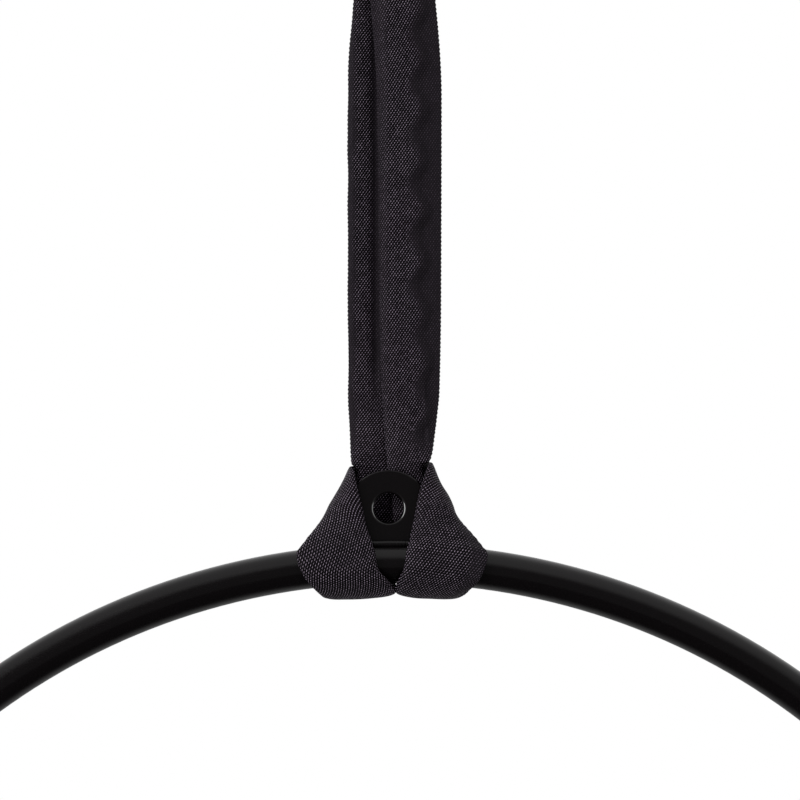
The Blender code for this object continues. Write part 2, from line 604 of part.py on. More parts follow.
def build_hoop(coll, tools):
    centre = Vector((0, 0, HOOP_Z))
    # the two ends are cut square, so a short stretch beside the butt runs level
    ends = [math.asin(x / HOOP_R) for x in (BUTT_GAP / 2, BUTT_BEAD_W)]
    turns = ends + [2 * math.pi * k / HOOP_STEPS for k in range(1, HOOP_STEPS)]
    turns += [2 * math.pi - a for a in reversed(ends)]
    path = [centre + Vector((HOOP_R * math.sin(a), 0, -HOOP_R * math.cos(a))) for a in turns]

    def walls(obj):
        mod = obj.modifiers.new("Wall", "SOLIDIFY")
        mod.thickness = TUBE_WALL
        mod.offset = -1.0
        mod.use_even_offset = True

    curve_mesh("hoop_tube", path, TUBE_R, TUBE_SIDES // 2 - 2, coll, GLOSS, caps=False, extra=walls)

    # Spigot inside both tube ends, and the weld bead round the butt
    share = (SPIGOT_L / 2 - BUTT_BEAD_W) / (path[2] - path[1]).length
    low = [path[-2].lerp(path[-3], share), path[-2], path[1], path[1].lerp(path[2], share)]
    spigot_r = (TUBE_R - TUBE_WALL) * math.cos(math.pi / TUBE_SIDES) - FIT_GAP / 2

    def spigot_wall(obj):
        mod = obj.modifiers.new("Wall", "SOLIDIFY")
        mod.thickness = SPIGOT_WALL
        mod.offset = -1.0

    curve_mesh("hoop_spigot", low, spigot_r, TUBE_SIDES // 2 - 2, coll, RAW, caps=False, extra=spigot_wall)
    bottom = HOOP_Z - HOOP_R
    rings = []
    inner = TUBE_R + FIT_GAP
    for across, rise in ((-1.0, 0.0), (-0.6, 0.75), (0.0, 1.0), (0.6, 0.75), (1.0, 0.0)):
        radius = inner + 0.0002 + rise * BUTT_BEAD_H
        rings.append([Vector((across * BUTT_BEAD_W / 2, radius * math.cos(t), bottom + radius * math.sin(t)))
                      for t in [2 * math.pi * i / 20 for i in range(20)]])
    bm = bmesh.new()
    first, last = loft(bm, rings, close_ends=False)
    bore = [[Vector((x * BUTT_BEAD_W / 2, inner * math.cos(t), bottom + inner * math.sin(t)))
             for t in [2 * math.pi * i / 20 for i in range(20)]] for x in (-1, 1)]
    a, b = loft(bm, bore, close_ends=False)
    for one, two in ((first, a), (last, b)):
        for i in range(20):
            j = (i + 1) % 20
            bm.faces.new((one[i], one[j], two[j], two[i]))
    add_object("hoop_butt_weld", bm, coll, GLOSS)

    # Tab: flat plate, round top, chamfered hole, foot shaped to the tube
    arc_z = CROWN_Z + TUBE_R + TAB_H - TAB_W / 2
    half = TAB_W / 2 - TAB_EDGE
    outline = [(-half, CROWN_Z + 0.004)]
    for k in range(25):
        a = math.pi - math.pi * k / 24
        outline.append((half * math.cos(a), arc_z + half * math.sin(a)))
    outline.append((half, CROWN_Z + 0.004))
    hole_r = TAB_HOLE_D / 2 + TAB_EDGE
    hole_z = CROWN_Z + TUBE_R + TAB_HOLE_H
    hole = [(hole_r * math.cos(2 * math.pi * k / 28), hole_z + hole_r * math.sin(2 * math.pi * k / 28))
            for k in range(28)]
    tab = plate_from_outlines("tab", [outline, hole], TAB_T, TAB_EDGE, coll, GLOSS)
    foot_r = TUBE_R + FIT_GAP
    near = [p for p in path if p.z > CROWN_Z - 0.02]
    tube_cut = curve_mesh("cut_tube", near, foot_r, 6, tools, None)
    cut(tab, tube_cut)

    # Fillet weld round the tab's foot
    weld = bmesh.new()
    reach = WELD_LEG
    low_z = CROWN_Z + 0.0045
    top_z = CROWN_Z + TUBE_R + reach
    rings = []
    for z, grow in ((low_z, reach + 0.0012), (CROWN_Z + TUBE_R - 0.0005, reach * 0.62), (top_z, 0.0002)):
        x = TAB_W / 2 + FIT_GAP + grow
        y = TAB_T / 2 + FIT_GAP + grow
        c = min(0.003, grow + 0.0004)
        rings.append([Vector(p) for p in (
            (-x, -y + c, z), (-x + c, -y, z), (x - c, -y, z), (x, -y + c, z),
            (x, y - c, z), (x - c, y, z), (-x + c, y, z), (-x, y - c, z))])
    loft(weld, rings)
    bead = add_object("tab_weld", weld, coll, GLOSS)
    room_w = TAB_W / 2 + FIT_GAP
    room = box_bm((-room_w, -TAB_FACE, CROWN_Z - 0.02), (room_w, TAB_FACE, CROWN_Z + 0.05))
    cut(bead, add_object("cut_tab_room", room, tools, None))
    cut(bead, tube_cut)


def plate_from_outlines(name, outlines, thick, edge, coll, look):
    """Plate in the XZ plane from 2D curve outlines with a chamfered rim."""
    curve = bpy.data.curves.new(name + "_outline", "CURVE")
    curve.dimensions = "2D"
    curve.fill_mode = "BOTH"
    curve.extrude = thick / 2 - edge
    curve.bevel_depth = edge
    curve.bevel_resolution = 0
    for outline in outlines:
        spline = curve.splines.new("POLY")
        spline.points.add(len(outline) - 1)
        spline.use_cyclic_u = True
        for point, (x, z) in zip(spline.points, outline):
            point.co = (x, z, 0.0, 1.0)
    temp = bpy.data.objects.new(name + "_outline", curve)
    temp.rotation_euler = (math.pi / 2, 0, 0)
    bpy.context.scene.collection.objects.link(temp)
    bpy.context.view_layer.update()
    mesh = bpy.data.meshes.new_from_object(temp.evaluated_get(bpy.context.evaluated_depsgraph_get()))
    bm = bmesh.new()
    bm.from_mesh(mesh)
    bmesh.ops.transform(bm, matrix=temp.matrix_world, verts=bm.verts[:])
    bmesh.ops.remove_doubles(bm, verts=bm.verts[:], dist=0.00002)
    bpy.data.objects.remove(temp, do_unlink=True)
    bpy.data.meshes.remove(mesh)
    return add_object(name, bm, coll, look)


def build_sling(coll):
    sway = Vector((0, 0, BOW_LOW_Z))
    swing = CROWN + Vector((0, 0, SLING_DROP - 0.012))
    twist = CROWN + Vector((0, TWIST_Y, TWIST_Z))
    tilt = CROWN + Vector((0, 0, HITCH_TOP + 0.0025))
    bm = sleeve_bm(bight_rings(0.0, RING_N), bight_rings(SLEEVE_WALL, RING_N))
    add_object("sling_bight_sleeve", bm, coll, FABRIC, sway)
    bm = bmesh.new()
    loft(bm, bight_rings(SLEEVE_WALL + FIT_GAP, CORE_N))
    add_object("sling_bight_core", bm, coll, YARN, sway)
    total = math.pi * (ROD_R + FIT_GAP + BIGHT_T / 2) + 2 * (SLING_DROP - NECK_TOP)
    for rear, word in ((False, "front"), (True, "rear")):
        spans = (
            ("sling_neck_" + word, swing, (NECK_TOP, (NECK_TOP + NECK_LOW) / 2, NECK_LOW)),
            ("sling_upper_" + word, swing, (NECK_LOW - SPLIT, PAIR_Z, 0.294, TWIST_Z + SPLIT / 2)),
            ("sling_lower_" + word, twist, (TWIST_Z - SPLIT / 2, 0.170, CHOKE_NECK_TOP)),
            ("sling_choke_neck_" + word, twist, (CHOKE_NECK_TOP - SPLIT, 0.110, 0.092, HITCH_TOP + SPLIT)),
        )
        for name, pivot, heights in spans:
            total += sling_stretch(name, frames([leg_station(z, rear) for z in heights]), coll, pivot)
    left, band, right = hitch_route()
    total += sling_stretch("sling_wrap_left", left, coll, tilt)
    total += sling_stretch("sling_choke_band", band, coll, tilt)
    total += sling_stretch("sling_wrap_right", right, coll, tilt)
    print("sling loop length along its middle", round(total, 4))
    build_join_patch(coll, swing)


def build_join_patch(coll, pivot):
    """Stitched cover over the sleeve's own join, on the rear leg's back."""
    z_top = NECK_LOW - 0.004
    rings = []
    for z in (z_top, PAIR_Z, z_top - JOIN_PATCH_H):
        left, right, thick = leg_station(z, True)[:3]
        mid = (left + right) / 2
        half = (right - left).length / 2
        pts = section(half, thick / 2, 48, 2.7)
        back = [p for p in pts if p[1] > 0 and abs(p[0]) < half * 0.8]
        back.sort()
        lower = [(u, v + FIT_GAP) for u, v in back]
        upper = [(u, v + FIT_GAP + JOIN_PATCH_T) for u, v in reversed(back)]
        rings.append([CROWN + mid + Vector((u, v, 0)) for u, v in lower + upper])
    bm = bmesh.new()
    loft(bm, rings)
    add_object("sling_join_patch", bm, coll, FABRIC, pivot)


def main():
    clear_scene()
    coll = new_collection("aerial_hoop_on_sling")
    tools = new_collection("cutters")
    build_connector(coll, tools)
    build_hoop(coll, tools)
    build_sling(coll)


main()
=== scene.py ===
"""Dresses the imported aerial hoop, its hitched round sling and the connector for a studio picture."""
import math

import bmesh
import bpy
from bpy.props import FloatProperty, FloatVectorProperty, IntProperty, PointerProperty
from mathutils import Matrix, Vector, noise


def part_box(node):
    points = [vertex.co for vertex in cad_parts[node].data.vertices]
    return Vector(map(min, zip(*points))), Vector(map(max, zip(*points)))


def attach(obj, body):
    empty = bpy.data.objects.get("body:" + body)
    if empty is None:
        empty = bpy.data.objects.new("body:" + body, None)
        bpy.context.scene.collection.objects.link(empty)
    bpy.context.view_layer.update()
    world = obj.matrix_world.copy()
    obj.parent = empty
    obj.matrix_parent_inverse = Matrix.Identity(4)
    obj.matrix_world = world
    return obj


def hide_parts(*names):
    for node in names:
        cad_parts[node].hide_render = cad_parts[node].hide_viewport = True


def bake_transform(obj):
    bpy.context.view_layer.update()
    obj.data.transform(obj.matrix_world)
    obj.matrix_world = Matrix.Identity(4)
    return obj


bl_info = {
    "name": "Aerial hoop on a round sling",
    "version": (1, 0, 0),
    "blender": (4, 5, 0),
    "location": "3D View > Sidebar > Hoop",
    "description": "Builds the hoop, tab, sling and connector round their CAD frame, and the stage",
    "category": "Object",
}

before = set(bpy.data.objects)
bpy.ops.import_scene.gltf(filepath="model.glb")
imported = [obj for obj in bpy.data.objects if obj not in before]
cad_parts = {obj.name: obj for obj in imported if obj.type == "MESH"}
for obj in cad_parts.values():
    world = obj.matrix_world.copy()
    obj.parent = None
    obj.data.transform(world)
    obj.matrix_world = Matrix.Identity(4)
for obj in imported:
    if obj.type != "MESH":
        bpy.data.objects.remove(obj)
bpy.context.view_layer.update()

MM = 0.001
GAP = 0.0003                # clearance between touching pieces, as in the CAD source
TAU = 2 * math.pi
TUBE_D = 0.0254
HOOP_OD = 0.900
TAB_W = 0.054
TAB_T = 0.008
TAB_H = 0.0467
TAB_HOLE_D = 0.019          # 1 mm less than the CAD's, under its coat
TAB_HOLE_H = 0.0225
TAB_X = -0.0034             # the photographed tab stands this far left of the hitch's middle
TAB_FOOT = 0.0085           # the tab's foot above the tube's centre, hidden in the tube
TAB_ROUND = 0.0009          # rounding of the tab's outer edges
HOLE_ROUND = 0.0015         # rounding of its hole, rubbed bright at either side
WELD_R = 0.0024             # bead at the tab's foot
WELD_LIFT = 0.0013          # its middle above the tube's skin
BEAD_HALF = 0.0031          # half width of the bead round the butt joint
ROD_D = 0.012
BOW_R = 0.030
STRAIGHT_L = 0.046
SLING_DROP = 0.4124
LEG_W = 0.041
LEG_T = 0.0114
CHOKE_T = 0.0094
WRAP_T = 0.0082
BIGHT_T = 0.0100
BAND_W = 0.0280
BAND_BACK_T = 0.0066
PATCH_H = 0.046
PATCH_T = 0.0008
PATCH_HALF = 0.0165         # half the patch's width on its weave map
PATCH_SPAN = 0.8            # share of the rear leg's width that the patch covers
HITCH_PARTS = 13            # rows of the sleeve from one station of the hitch to the next
LEAN_REACH = 0.022          # length over which the yarns' lean evens out
SLEEVE_SQUARE = 2.7         # how square the flattened sleeve's sides are; 2 is an ellipse
EDGE_LOOPS = 0.00022        # how far the yarns' turns stand out along the sleeve's edges
SEAM_RISE = 0.0019          # stitches above the rear leg's back
STITCH_SHARE = 0.72         # part of a stitch's pitch that lies on top
PIN_D = 0.0026              # gate hinge pin
LATCH_D = 0.0020            # latch pin
TONGUE_T = 0.0040           # gate tongue in the bow's slot
NOSE_T = 0.0030             # bow's nose in the gate's fork
PLAY = 0.0004               # running clearance of the connector's moving pieces, each side
THROUGH = 0.02              # half length of the tools that cut right through
RIM_BREAK = 0.0006          # broken edges at the ends of the bow and the gate
SLOT_ROOF = 0.0058          # the slot's roof above the pin, clear of the plunger when the gate is open
KNURL_DEPTH = 0.0004
FLOOR_Z = -1.62
CAMERA_X = 0.0038
CAMERA_Z = -0.4086
SENSOR_W = 36.0

TUBE_R = TUBE_D / 2
ROD_R = ROD_D / 2
HOOP_R = HOOP_OD / 2 - TUBE_R
BOW_TOP_Z = ROD_R - BOW_R
BOW_LOW_Z = BOW_TOP_Z - STRAIGHT_L
CROWN_Z = BOW_LOW_Z - BOW_R - SLING_DROP
HOOP_Z = CROWN_Z - HOOP_R
CROWN = Vector((0.0, 0.0, CROWN_Z))
WRAP_R = TUBE_R + 2 * GAP + WRAP_T / 2
TAB_FACE = TAB_T / 2 + GAP
BAND_TOP = TUBE_R + TAB_H + 0.0021
BAND_LOW = BAND_TOP - BAND_W
HITCH_TOP = BAND_TOP + 0.0236
CHOKE_NECK_TOP = HITCH_TOP + 0.036
NECK_LOW = SLING_DROP - 0.037
NECK_TOP = SLING_DROP - 0.009
PAIR_Z = 0.330
GATE_X = BOW_R
PIN_Z = BOW_TOP_Z - 0.0045
CLEVIS_END = PIN_Z - 0.0045
NOSE_Z = BOW_LOW_Z + 0.0068
LATCH_X = GATE_X - 0.0006
LATCH_Z = NOSE_Z + 0.0032
HITCH_MM = 66               # the legs' folds end at this height above the tube's centre, mm
CREASE_MM = -12.5           # where the rear leg's face meets the front leg, mm

# Left and right edge of each leg at heights above the tube's centre, mm, as in the CAD source.
REAR_X = [
    (412.4, -20.5, 20.5), (294, -29.5, 11.5), (170, -29.5, 11.5), (110, -29.3, 10.6), (92, -28.9, 9.6),
    (80, -28.3, 8.4), (70, -27.9, 6.9), (65.5, -27.6, 6.3), (62.4, -27.1, 5.8), (60.6, -24.6, 5.6),
    (57.5, -23.0, 5.2), (52, -24.2, 4.6), (46, -26.0, 4.0), (40, -28.4, 3.2), (34, -31.6, 2.4),
    (28, -37.5, 1.9), (22, -43.0, 0.8), (14, -48.0, -0.2)]
FRONT_X = [
    (412.4, -20.5, 20.5), (294, -10.8, 30.2), (170, -9.3, 30.0), (110, -8.0, 29.0), (92, -6.7, 27.3),
    (80, -6.0, 25.8), (70, -5.2, 24.4), (67, -4.9, 23.6), (64.8, -4.6, 22.8), (62.6, -4.3, 19.8),
    (58.5, -3.8, 18.4), (52, -3.1, 20.2), (46, -2.4, 22.4), (40, -1.6, 25.6), (34, -1.0, 29.6),
    (28, -0.7, 36.0), (22, 0.3, 41.5), (14, 1.8, 46.5)]
# Front wings from the tube up: outer edge, inner edge, mm, share of WRAP_T, outward bow, mm.
LEFT_WING = [
    ((61.6, -15.8, 5.8), (12.2, -15.8, 8.5), 1.0, 0.0), ((57.8, -11.0, 12.4), (14.4, -13.8, 15.5), 0.97, 0.3),
    ((50.6, -4.0, 21.4), (17.2, -10.8, 25.0), 0.95, 2.0), ((44.4, 4.0, 28.2), (20.2, -9.8, 35.5), 0.9, 4.6),
    ((40.6, 11.0, 32.0), (22.8, -9.2, 45.0), 0.82, 4.2), ((38.2, 17.0, 33.6), (24.8, -7.4, 54.0), 0.72, 2.4),
    ((36.4, 21.0, 33.8), (26.0, -1.4, 59.6), 0.66, 1.0)]
RIGHT_WING = [
    ((59.2, -15.8, 6.0), (7.6, -15.8, 8.5), 1.0, 0.0), ((55.2, -11.0, 12.6), (9.6, -13.8, 15.5), 0.97, 0.3),
    ((47.4, -4.2, 21.4), (11.8, -10.8, 25.0), 0.95, 2.0), ((40.4, 1.6, 28.2), (14.0, -10.2, 35.5), 0.9, 5.6),
    ((37.0, 6.8, 32.0), (16.2, -9.8, 45.0), 0.82, 5.8), ((34.6, 12.4, 34.0), (18.8, -8.4, 54.0), 0.72, 4.0),
    ((31.4, 17.4, 34.6), (22.2, -3.4, 61.4), 0.66, 1.2)]
WRAP_ANGLES = (-8, -36, -63, -90, -117, -144, -172)
LEFT_OUTER = (55.0, 52.2, 48.0, 45.2, 47.4, 52.0, 57.4)
LEFT_INNER = (0.4, -0.2, -1.5, -1.2, -0.3, 3.8, 9.8)
RIGHT_OUTER = (53.5, 51.2, 47.0, 43.0, 45.0, 51.2, 55.6)
RIGHT_INNER = (3.4, 2.6, 1.9, 1.5, 0.8, 2.6, 6.0)
WRAP_LEG_Z = (0.080, 0.074, 0.070, 0.067, 0.0645, 0.0626, 0.0606, 0.058, 0.052, 0.046, 0.040, 0.034,
              0.028, 0.022, 0.015)
# Bight behind the legs, left to right: lower edge, upper edge, mm, share of BAND_BACK_T.
BAND_ROUTE = [
    ((-34.0, 24.2, 33.6), (-27.3, 7.0, 61.0), 0.79), ((-30.3, 27.0, 33.5), (-26.6, 16.6, 61.3), 0.79),
    ((-23.8, 28.4, 33.5), (-23.4, 24.2, 61.5), 0.85), ((-15.6, 28.5, 33.5), (-15.6, 28.3, 61.5), 1.0),
    ((-6.0, 28.5, 33.5), (-6.0, 28.5, 62.0), 1.0), ((2.4, 28.4, 33.7), (2.6, 28.2, 62.8), 1.0),
    ((8.6, 27.6, 33.9), (9.2, 26.8, 63.4), 1.0), ((13.8, 26.2, 34.2), (14.6, 23.4, 63.8), 0.94),
    ((19.4, 24.0, 34.5), (19.6, 17.6, 64.0), 0.85), ((24.6, 21.4, 34.6), (22.6, 12.0, 64.0), 0.79),
    ((28.6, 19.0, 34.6), (23.4, 4.6, 63.4), 0.79)]


class HoopSettings(bpy.types.PropertyGroup):
    """Sizes and colours of the coated steel."""
    sides: IntProperty(name="Tube sides", description="Facets round the hoop's tube", default=48, min=16)
    steps: IntProperty(name="Ring steps", description="Sections along the hoop", default=288, min=72)
    ripple: FloatProperty(name="Weld ripple", description="Pitch of the weld's ripples", default=0.0021,
                          unit="LENGTH")
    coat: FloatVectorProperty(name="Coat", description="Colour of the black coat", subtype="COLOR",
                              default=(0.0030, 0.0022, 0.0026))
    coat_roughness: FloatProperty(name="Coat roughness", description="Roughness of the coat", default=0.20)


class SlingSettings(bpy.types.PropertyGroup):
    """Weave, folds and colours of the sling's sleeve."""
    around: IntProperty(name="Sleeve points", description="Points round the sleeve", default=96, min=24)
    warp: FloatProperty(name="Warp pitch", description="Spacing of the lengthwise yarns", default=0.00097,
                        unit="LENGTH")
    weft: FloatProperty(name="Weft pitch", description="Spacing of the crosswise yarns", default=0.001355,
                        unit="LENGTH")
    row: FloatProperty(name="Row spacing", description="Spacing of the sleeve's sections", default=0.00068,
                       unit="LENGTH")
    pucker: FloatProperty(name="Pucker", description="Depth of the sleeve's puckers", default=0.0008,
                          unit="LENGTH")
    shade: FloatVectorProperty(name="Gaps", description="Colour between the yarns", subtype="COLOR",
                               default=(0.0010, 0.0007, 0.0011))
    # yarn: a bright colour that carries the floats' painted glints; the sleeve's own yarn is near black
    yarn: FloatVectorProperty(name="Yarn", description="Colour of the lit yarn floats", subtype="COLOR",
                              default=(0.440, 0.360, 0.456))
    thread: FloatVectorProperty(name="Thread", description="Colour of the sewing thread", subtype="COLOR",
                                default=(0.030, 0.028, 0.031))


class ConnectorSettings(bpy.types.PropertyGroup):
    """Finish of the screw-gate connector."""
    sides: IntProperty(name="Rod sides", description="Facets round the rod", default=32, min=16)
    ribs: IntProperty(name="Knurl ribs", description="Ribs round the locking sleeve", default=36, min=12)
    zinc: FloatVectorProperty(name="Zinc", description="Colour of the plated steel", subtype="COLOR",
                              default=(0.56, 0.57, 0.58))
    steel: FloatVectorProperty(name="Steel", description="Colour of the bare steel", subtype="COLOR",
                               default=(0.42, 0.41, 0.40))


class StageSettings(bpy.types.PropertyGroup):
    """Camera, floor and light."""
    lens: FloatProperty(name="Lens", description="Focal length of the camera", default=150.0,
                        subtype="DISTANCE_CAMERA")
    view_width: FloatProperty(name="View width", description="Width seen at the hoop", default=0.508,
                              unit="LENGTH")
    floor: FloatVectorProperty(name="Floor", description="Colour of the floor", subtype="COLOR",
                               default=(0.82, 0.82, 0.82))
    floor_front: FloatVectorProperty(name="Floor before the hoop", subtype="COLOR",
                                     description="Colour of the floor's front as the steel mirrors it",
                                     default=(0.05, 0.05, 0.05))
    key_power: FloatProperty(name="Key light", description="Power of the key light", default=46.0,
                             unit="POWER")
    fill_power: FloatProperty(name="Fill light", description="Power of the fill and top lights",
                              default=7.0, unit="POWER")
    ambient: FloatProperty(name="Ambient", description="Strength of the room's light", default=0.32)
    front: FloatProperty(name="Front", description="Brightness of the room before the hoop", default=0.14)
    panel: FloatProperty(name="Side panels", description="Brightness of the panels that the steel mirrors",
                         default=3.0)


class Wire:
    """A node's output that takes part in Python arithmetic."""

    def __init__(self, finish, socket):
        self.finish = finish
        self.socket = socket

    def maths(self, operation, *values):
        return self.finish.node("ShaderNodeMath", {"operation": operation}, dict(enumerate(values)))

    def __add__(self, other):
        return self.maths("ADD", self, other)

    __radd__ = __add__

    def __sub__(self, other):
        return self.maths("SUBTRACT", self, other)

    def __rsub__(self, other):
        return self.maths("SUBTRACT", other, self)

    def __mul__(self, other):
        return self.maths("MULTIPLY", self, other)

    __rmul__ = __mul__

    def __mod__(self, other):
        return self.maths("FLOORED_MODULO", self, other)

    def floor(self):
        return self.maths("FLOOR", self)

    def size(self):
        return self.maths("ABSOLUTE", self)

    def larger(self, other):
        return self.maths("MAXIMUM", self, other)

    def held(self):
        """Kept between 0 and 1."""
        return self.finish.node("ShaderNodeClamp", None, {0: self})


class Finish:
    """A node tree and the one method that adds to it."""

    def __init__(self, tree):
        self.tree = tree
        tree.nodes.clear()

    def node(self, kind, settings=None, sockets=None, out=0):
        made = self.tree.nodes.new(kind)
        for key, value in (settings or {}).items():
            setattr(made, key, value)
        for key, value in (sockets or {}).items():
            if isinstance(value, Wire):
                self.tree.links.new(value.socket, made.inputs[key])
            else:
                made.inputs[key].default_value = value
        return Wire(self, made.outputs[out]) if made.outputs else None

    def mix(self, share, first, second):
        """Colour between two colours."""
        colours = {0: share, 6: rgba(first), 7: rgba(second)}
        return self.node("ShaderNodeMix", {"data_type": "RGBA"}, colours, 2)

    def fade(self, value, start, end):
        """0 at the start, 1 at the end, eased between."""
        return self.node("ShaderNodeMapRange", {"interpolation_type": "SMOOTHSTEP"},
                         {0: value, 1: start, 2: end})

    def split(self, place):
        """The three coordinates of a place."""
        parts = self.node("ShaderNodeSeparateXYZ", None, {0: place})
        return [Wire(self, part) for part in parts.socket.node.outputs]

    def speckle(self, scale, detail, stretch=(1.0, 1.0, 1.0)):
        """Noise value on the object's own coordinates."""
        place = self.node("ShaderNodeTexCoord", None, None, "Object")
        moved = self.node("ShaderNodeMapping", None, {0: place, "Scale": stretch})
        return self.node("ShaderNodeTexNoise", None, {"Vector": moved, "Scale": scale, "Detail": detail})

    def bump(self, strength, distance, height):
        sockets = {"Strength": strength, "Distance": distance, "Height": height}
        return self.node("ShaderNodeBump", None, sockets)


def rgba(colour):
    return colour if isinstance(colour, Wire) else (*colour, 1.0)


def new_finish(name):
    """(material, its node tree), or (material, None) where it is already made."""
    if name in bpy.data.materials:
        return bpy.data.materials[name], None
    mat = bpy.data.materials.new(name)
    mat.use_nodes = True
    return mat, Finish(mat.node_tree)


def close_finish(finish, sockets):
    """Ends the tree in one shader."""
    shader = finish.node("ShaderNodeBsdfPrincipled", None, sockets)
    finish.node("ShaderNodeOutputMaterial", None, {"Surface": shader})


def gloss_coat(settings):
    """Black coat on the steel: faint orange peel, dust and rubbed haze."""
    mat, f = new_finish("gloss_black_coat")
    if f:
        haze = f.speckle(38.0, 4.0)
        dust = (f.speckle(2600.0, 1.0) - 0.70).held() * 2.2
        streak = f.speckle(70.0, 3.0, (1.0, 1.0, 6.0))
        base = f.mix(dust.held(), settings.coat, (0.030, 0.027, 0.026))
        rough = settings.coat_roughness + (haze - 0.5) * 0.10 + (streak - 0.5) * 0.05 + dust * 0.3
        peel = f.speckle(620.0, 2.0) * 0.6 + f.speckle(160.0, 1.0)
        bump = f.bump(0.10, 0.0004, peel)
        rubbed = f.node("ShaderNodeAttribute", {"attribute_name": "rubbed"}, None, "Fac")
        close_finish(f, {"Base Color": base, "Roughness": rough, "Normal": bump, "Specular IOR Level": 0.30,
                         "Coat Weight": rubbed, "Coat Roughness": 0.12, "Coat IOR": 2.1})
    return mat


def sleeve_fabric(settings):
    """Coarse plain weave on the UV map weave, which is in metres. The bright yarn floats are painted glints;
    the second UV map carries painted shade, which fades them to a flat dark tone where it is above 0.
    """
    mat, f = new_finish("woven_sleeve")
    if f:
        across, along, _ = f.split(f.node("ShaderNodeUVMap", {"uv_map": "weave"}))
        painted_shade = f.split(f.node("ShaderNodeUVMap", {"uv_map": "painted_shade"}))[0]
        warp = across * (1 / settings.warp)
        weft = (along + across * 0.055) * (1 / settings.weft)
        column = warp.floor()
        row = weft.floor()
        u = warp - column - 0.5
        v = weft - row - 0.5
        over = (column + row) % 2.0
        lean = u + v
        cross = u - v
        # each float that lies over gets a slanted dash of painted glint on the black yarn; the floats under
        # it stay dim
        dash = (1.0 - lean * lean * 10.0 - cross * cross * 1.3).held()
        lay = (1.0 - u * u * 5.0 - v * v * 2.8).held()
        cell = f.node("ShaderNodeCombineXYZ", None, {0: column, 1: row})
        uneven = f.node("ShaderNodeTexWhiteNoise", {"noise_dimensions": "2D"}, {"Vector": cell})
        # patches where the painted glints run stronger or weaker
        glint_patches = f.speckle(55.0, 3.0)
        lit = over * dash * dash * (0.55 + uneven * 0.9) + (1.0 - over) * lay * 0.014
        # painted shade: where the sleeve turns from the light and in the crease, the glints give way to a
        # flat dark tone
        lit = lit * (0.60 + glint_patches * 0.80) * (1.0 - painted_shade * 0.85) + painted_shade * 0.024
        colour = f.mix(lit.held(), settings.shade, settings.yarn)
        lint = (f.speckle(900.0, 1.0) - 0.72).held() * 1.6
        colour = f.mix(lint.held() * 0.5, colour, (0.06, 0.055, 0.062))
        height = over * dash + (1.0 - over) * lay * 0.8
        # the painted-shade mask also flattens the weave's bumps
        bump = f.bump(0.55, 0.00022, height * (1.0 - painted_shade * 0.7))
        close_finish(f, {"Base Color": colour, "Roughness": 0.62 - height * 0.16, "Normal": bump,
                         "Specular IOR Level": 0.06})
    return mat


def sewing_thread(settings):
    """Twisted thread, its ply running round each stitch."""
    mat, f = new_finish("sewing_thread")
    if f:
        ply = f.speckle(1500.0, 1.0, (1.0, 1.0, 0.3))
        base = f.mix(ply, [c * 0.4 for c in settings.thread], settings.thread)
        bump = f.bump(0.4, 0.0001, ply)
        close_finish(f, {"Base Color": base, "Roughness": 0.6, "Normal": bump})
    return mat


def plated_steel(settings):
    """Zinc plating: fine brushing, slightly cloudy, darker handling marks."""
    mat, f = new_finish("zinc_plating")
    if f:
        cloud = f.speckle(60.0, 4.0)
        brush = f.speckle(900.0, 2.0, (1.0, 1.0, 0.06))
        mark = (f.speckle(240.0, 2.0) - 0.60).held() * 2.0
        base = f.mix(mark.held() * 0.35, f.mix(cloud, [c * 0.86 for c in settings.zinc], settings.zinc),
                     (0.30, 0.29, 0.27))
        rough = 0.24 + cloud * 0.12 + brush * 0.08 + mark * 0.1
        bump = f.bump(0.12, 0.0001, brush)
        close_finish(f, {"Base Color": base, "Roughness": rough, "Metallic": 1.0, "Normal": bump})
    return mat


def bare_steel(settings):
    """Turned steel of the pins, the plunger and the spigot."""
    mat, f = new_finish("bare_steel")
    if f:
        turn = f.speckle(700.0, 2.0, (1.0, 0.08, 1.0))
        base = f.mix(turn, [c * 0.7 for c in settings.steel], settings.steel)
        bump = f.bump(0.15, 0.0001, turn)
        close_finish(f, {"Base Color": base, "Roughness": 0.34 + turn * 0.15, "Metallic": 1.0,
                         "Normal": bump})
    return mat


def recoat(node, mat):
    """Gives a piece of the frame that is kept as it is its finish."""
    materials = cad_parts[node].data.materials
    materials.clear()
    materials.append(mat)


def stand(name, data):
    """Object in the scene."""
    obj = bpy.data.objects.new(name, data)
    bpy.context.scene.collection.objects.link(obj)
    return obj


def keep_piece(name, bm, mat, sharp=40.0, merge=0.000005):
    """Object from a finished bmesh; edges sharper than the angle stay sharp."""
    if merge:
        bmesh.ops.remove_doubles(bm, verts=bm.verts[:], dist=merge)
    for face in bm.faces:
        face.smooth = True
    limit = math.radians(sharp)
    for edge in bm.edges:
        edge.smooth = len(edge.link_faces) < 2 or edge.calc_face_angle(0.0) < limit
    mesh = bpy.data.meshes.new(name)
    bm.to_mesh(mesh)
    bm.free()
    mesh.materials.append(mat)
    return stand(name, mesh)


def end_rims(bm):
    """Edges of the flat ends, whose faces have more than four corners."""
    return [e for e in bm.edges if any(len(f.verts) > 4 for f in e.link_faces)]


def soften(bm, rims, offset, segments=2):
    """Rounds the edges off; gives the new faces."""
    return bmesh.ops.bevel(bm, geom=rims, offset=offset, affect="EDGES", segments=segments, profile=0.5,
                           material=-1)["faces"]


def edges_of(verts):
    """The edges that meet at the points, once each."""
    return list({e for v in verts for e in v.link_edges})


def tidy_normals(bm):
    """Joins doubled points and turns all faces outwards."""
    bmesh.ops.remove_doubles(bm, verts=bm.verts[:], dist=0.000005)
    bmesh.ops.recalc_face_normals(bm, faces=bm.faces[:])


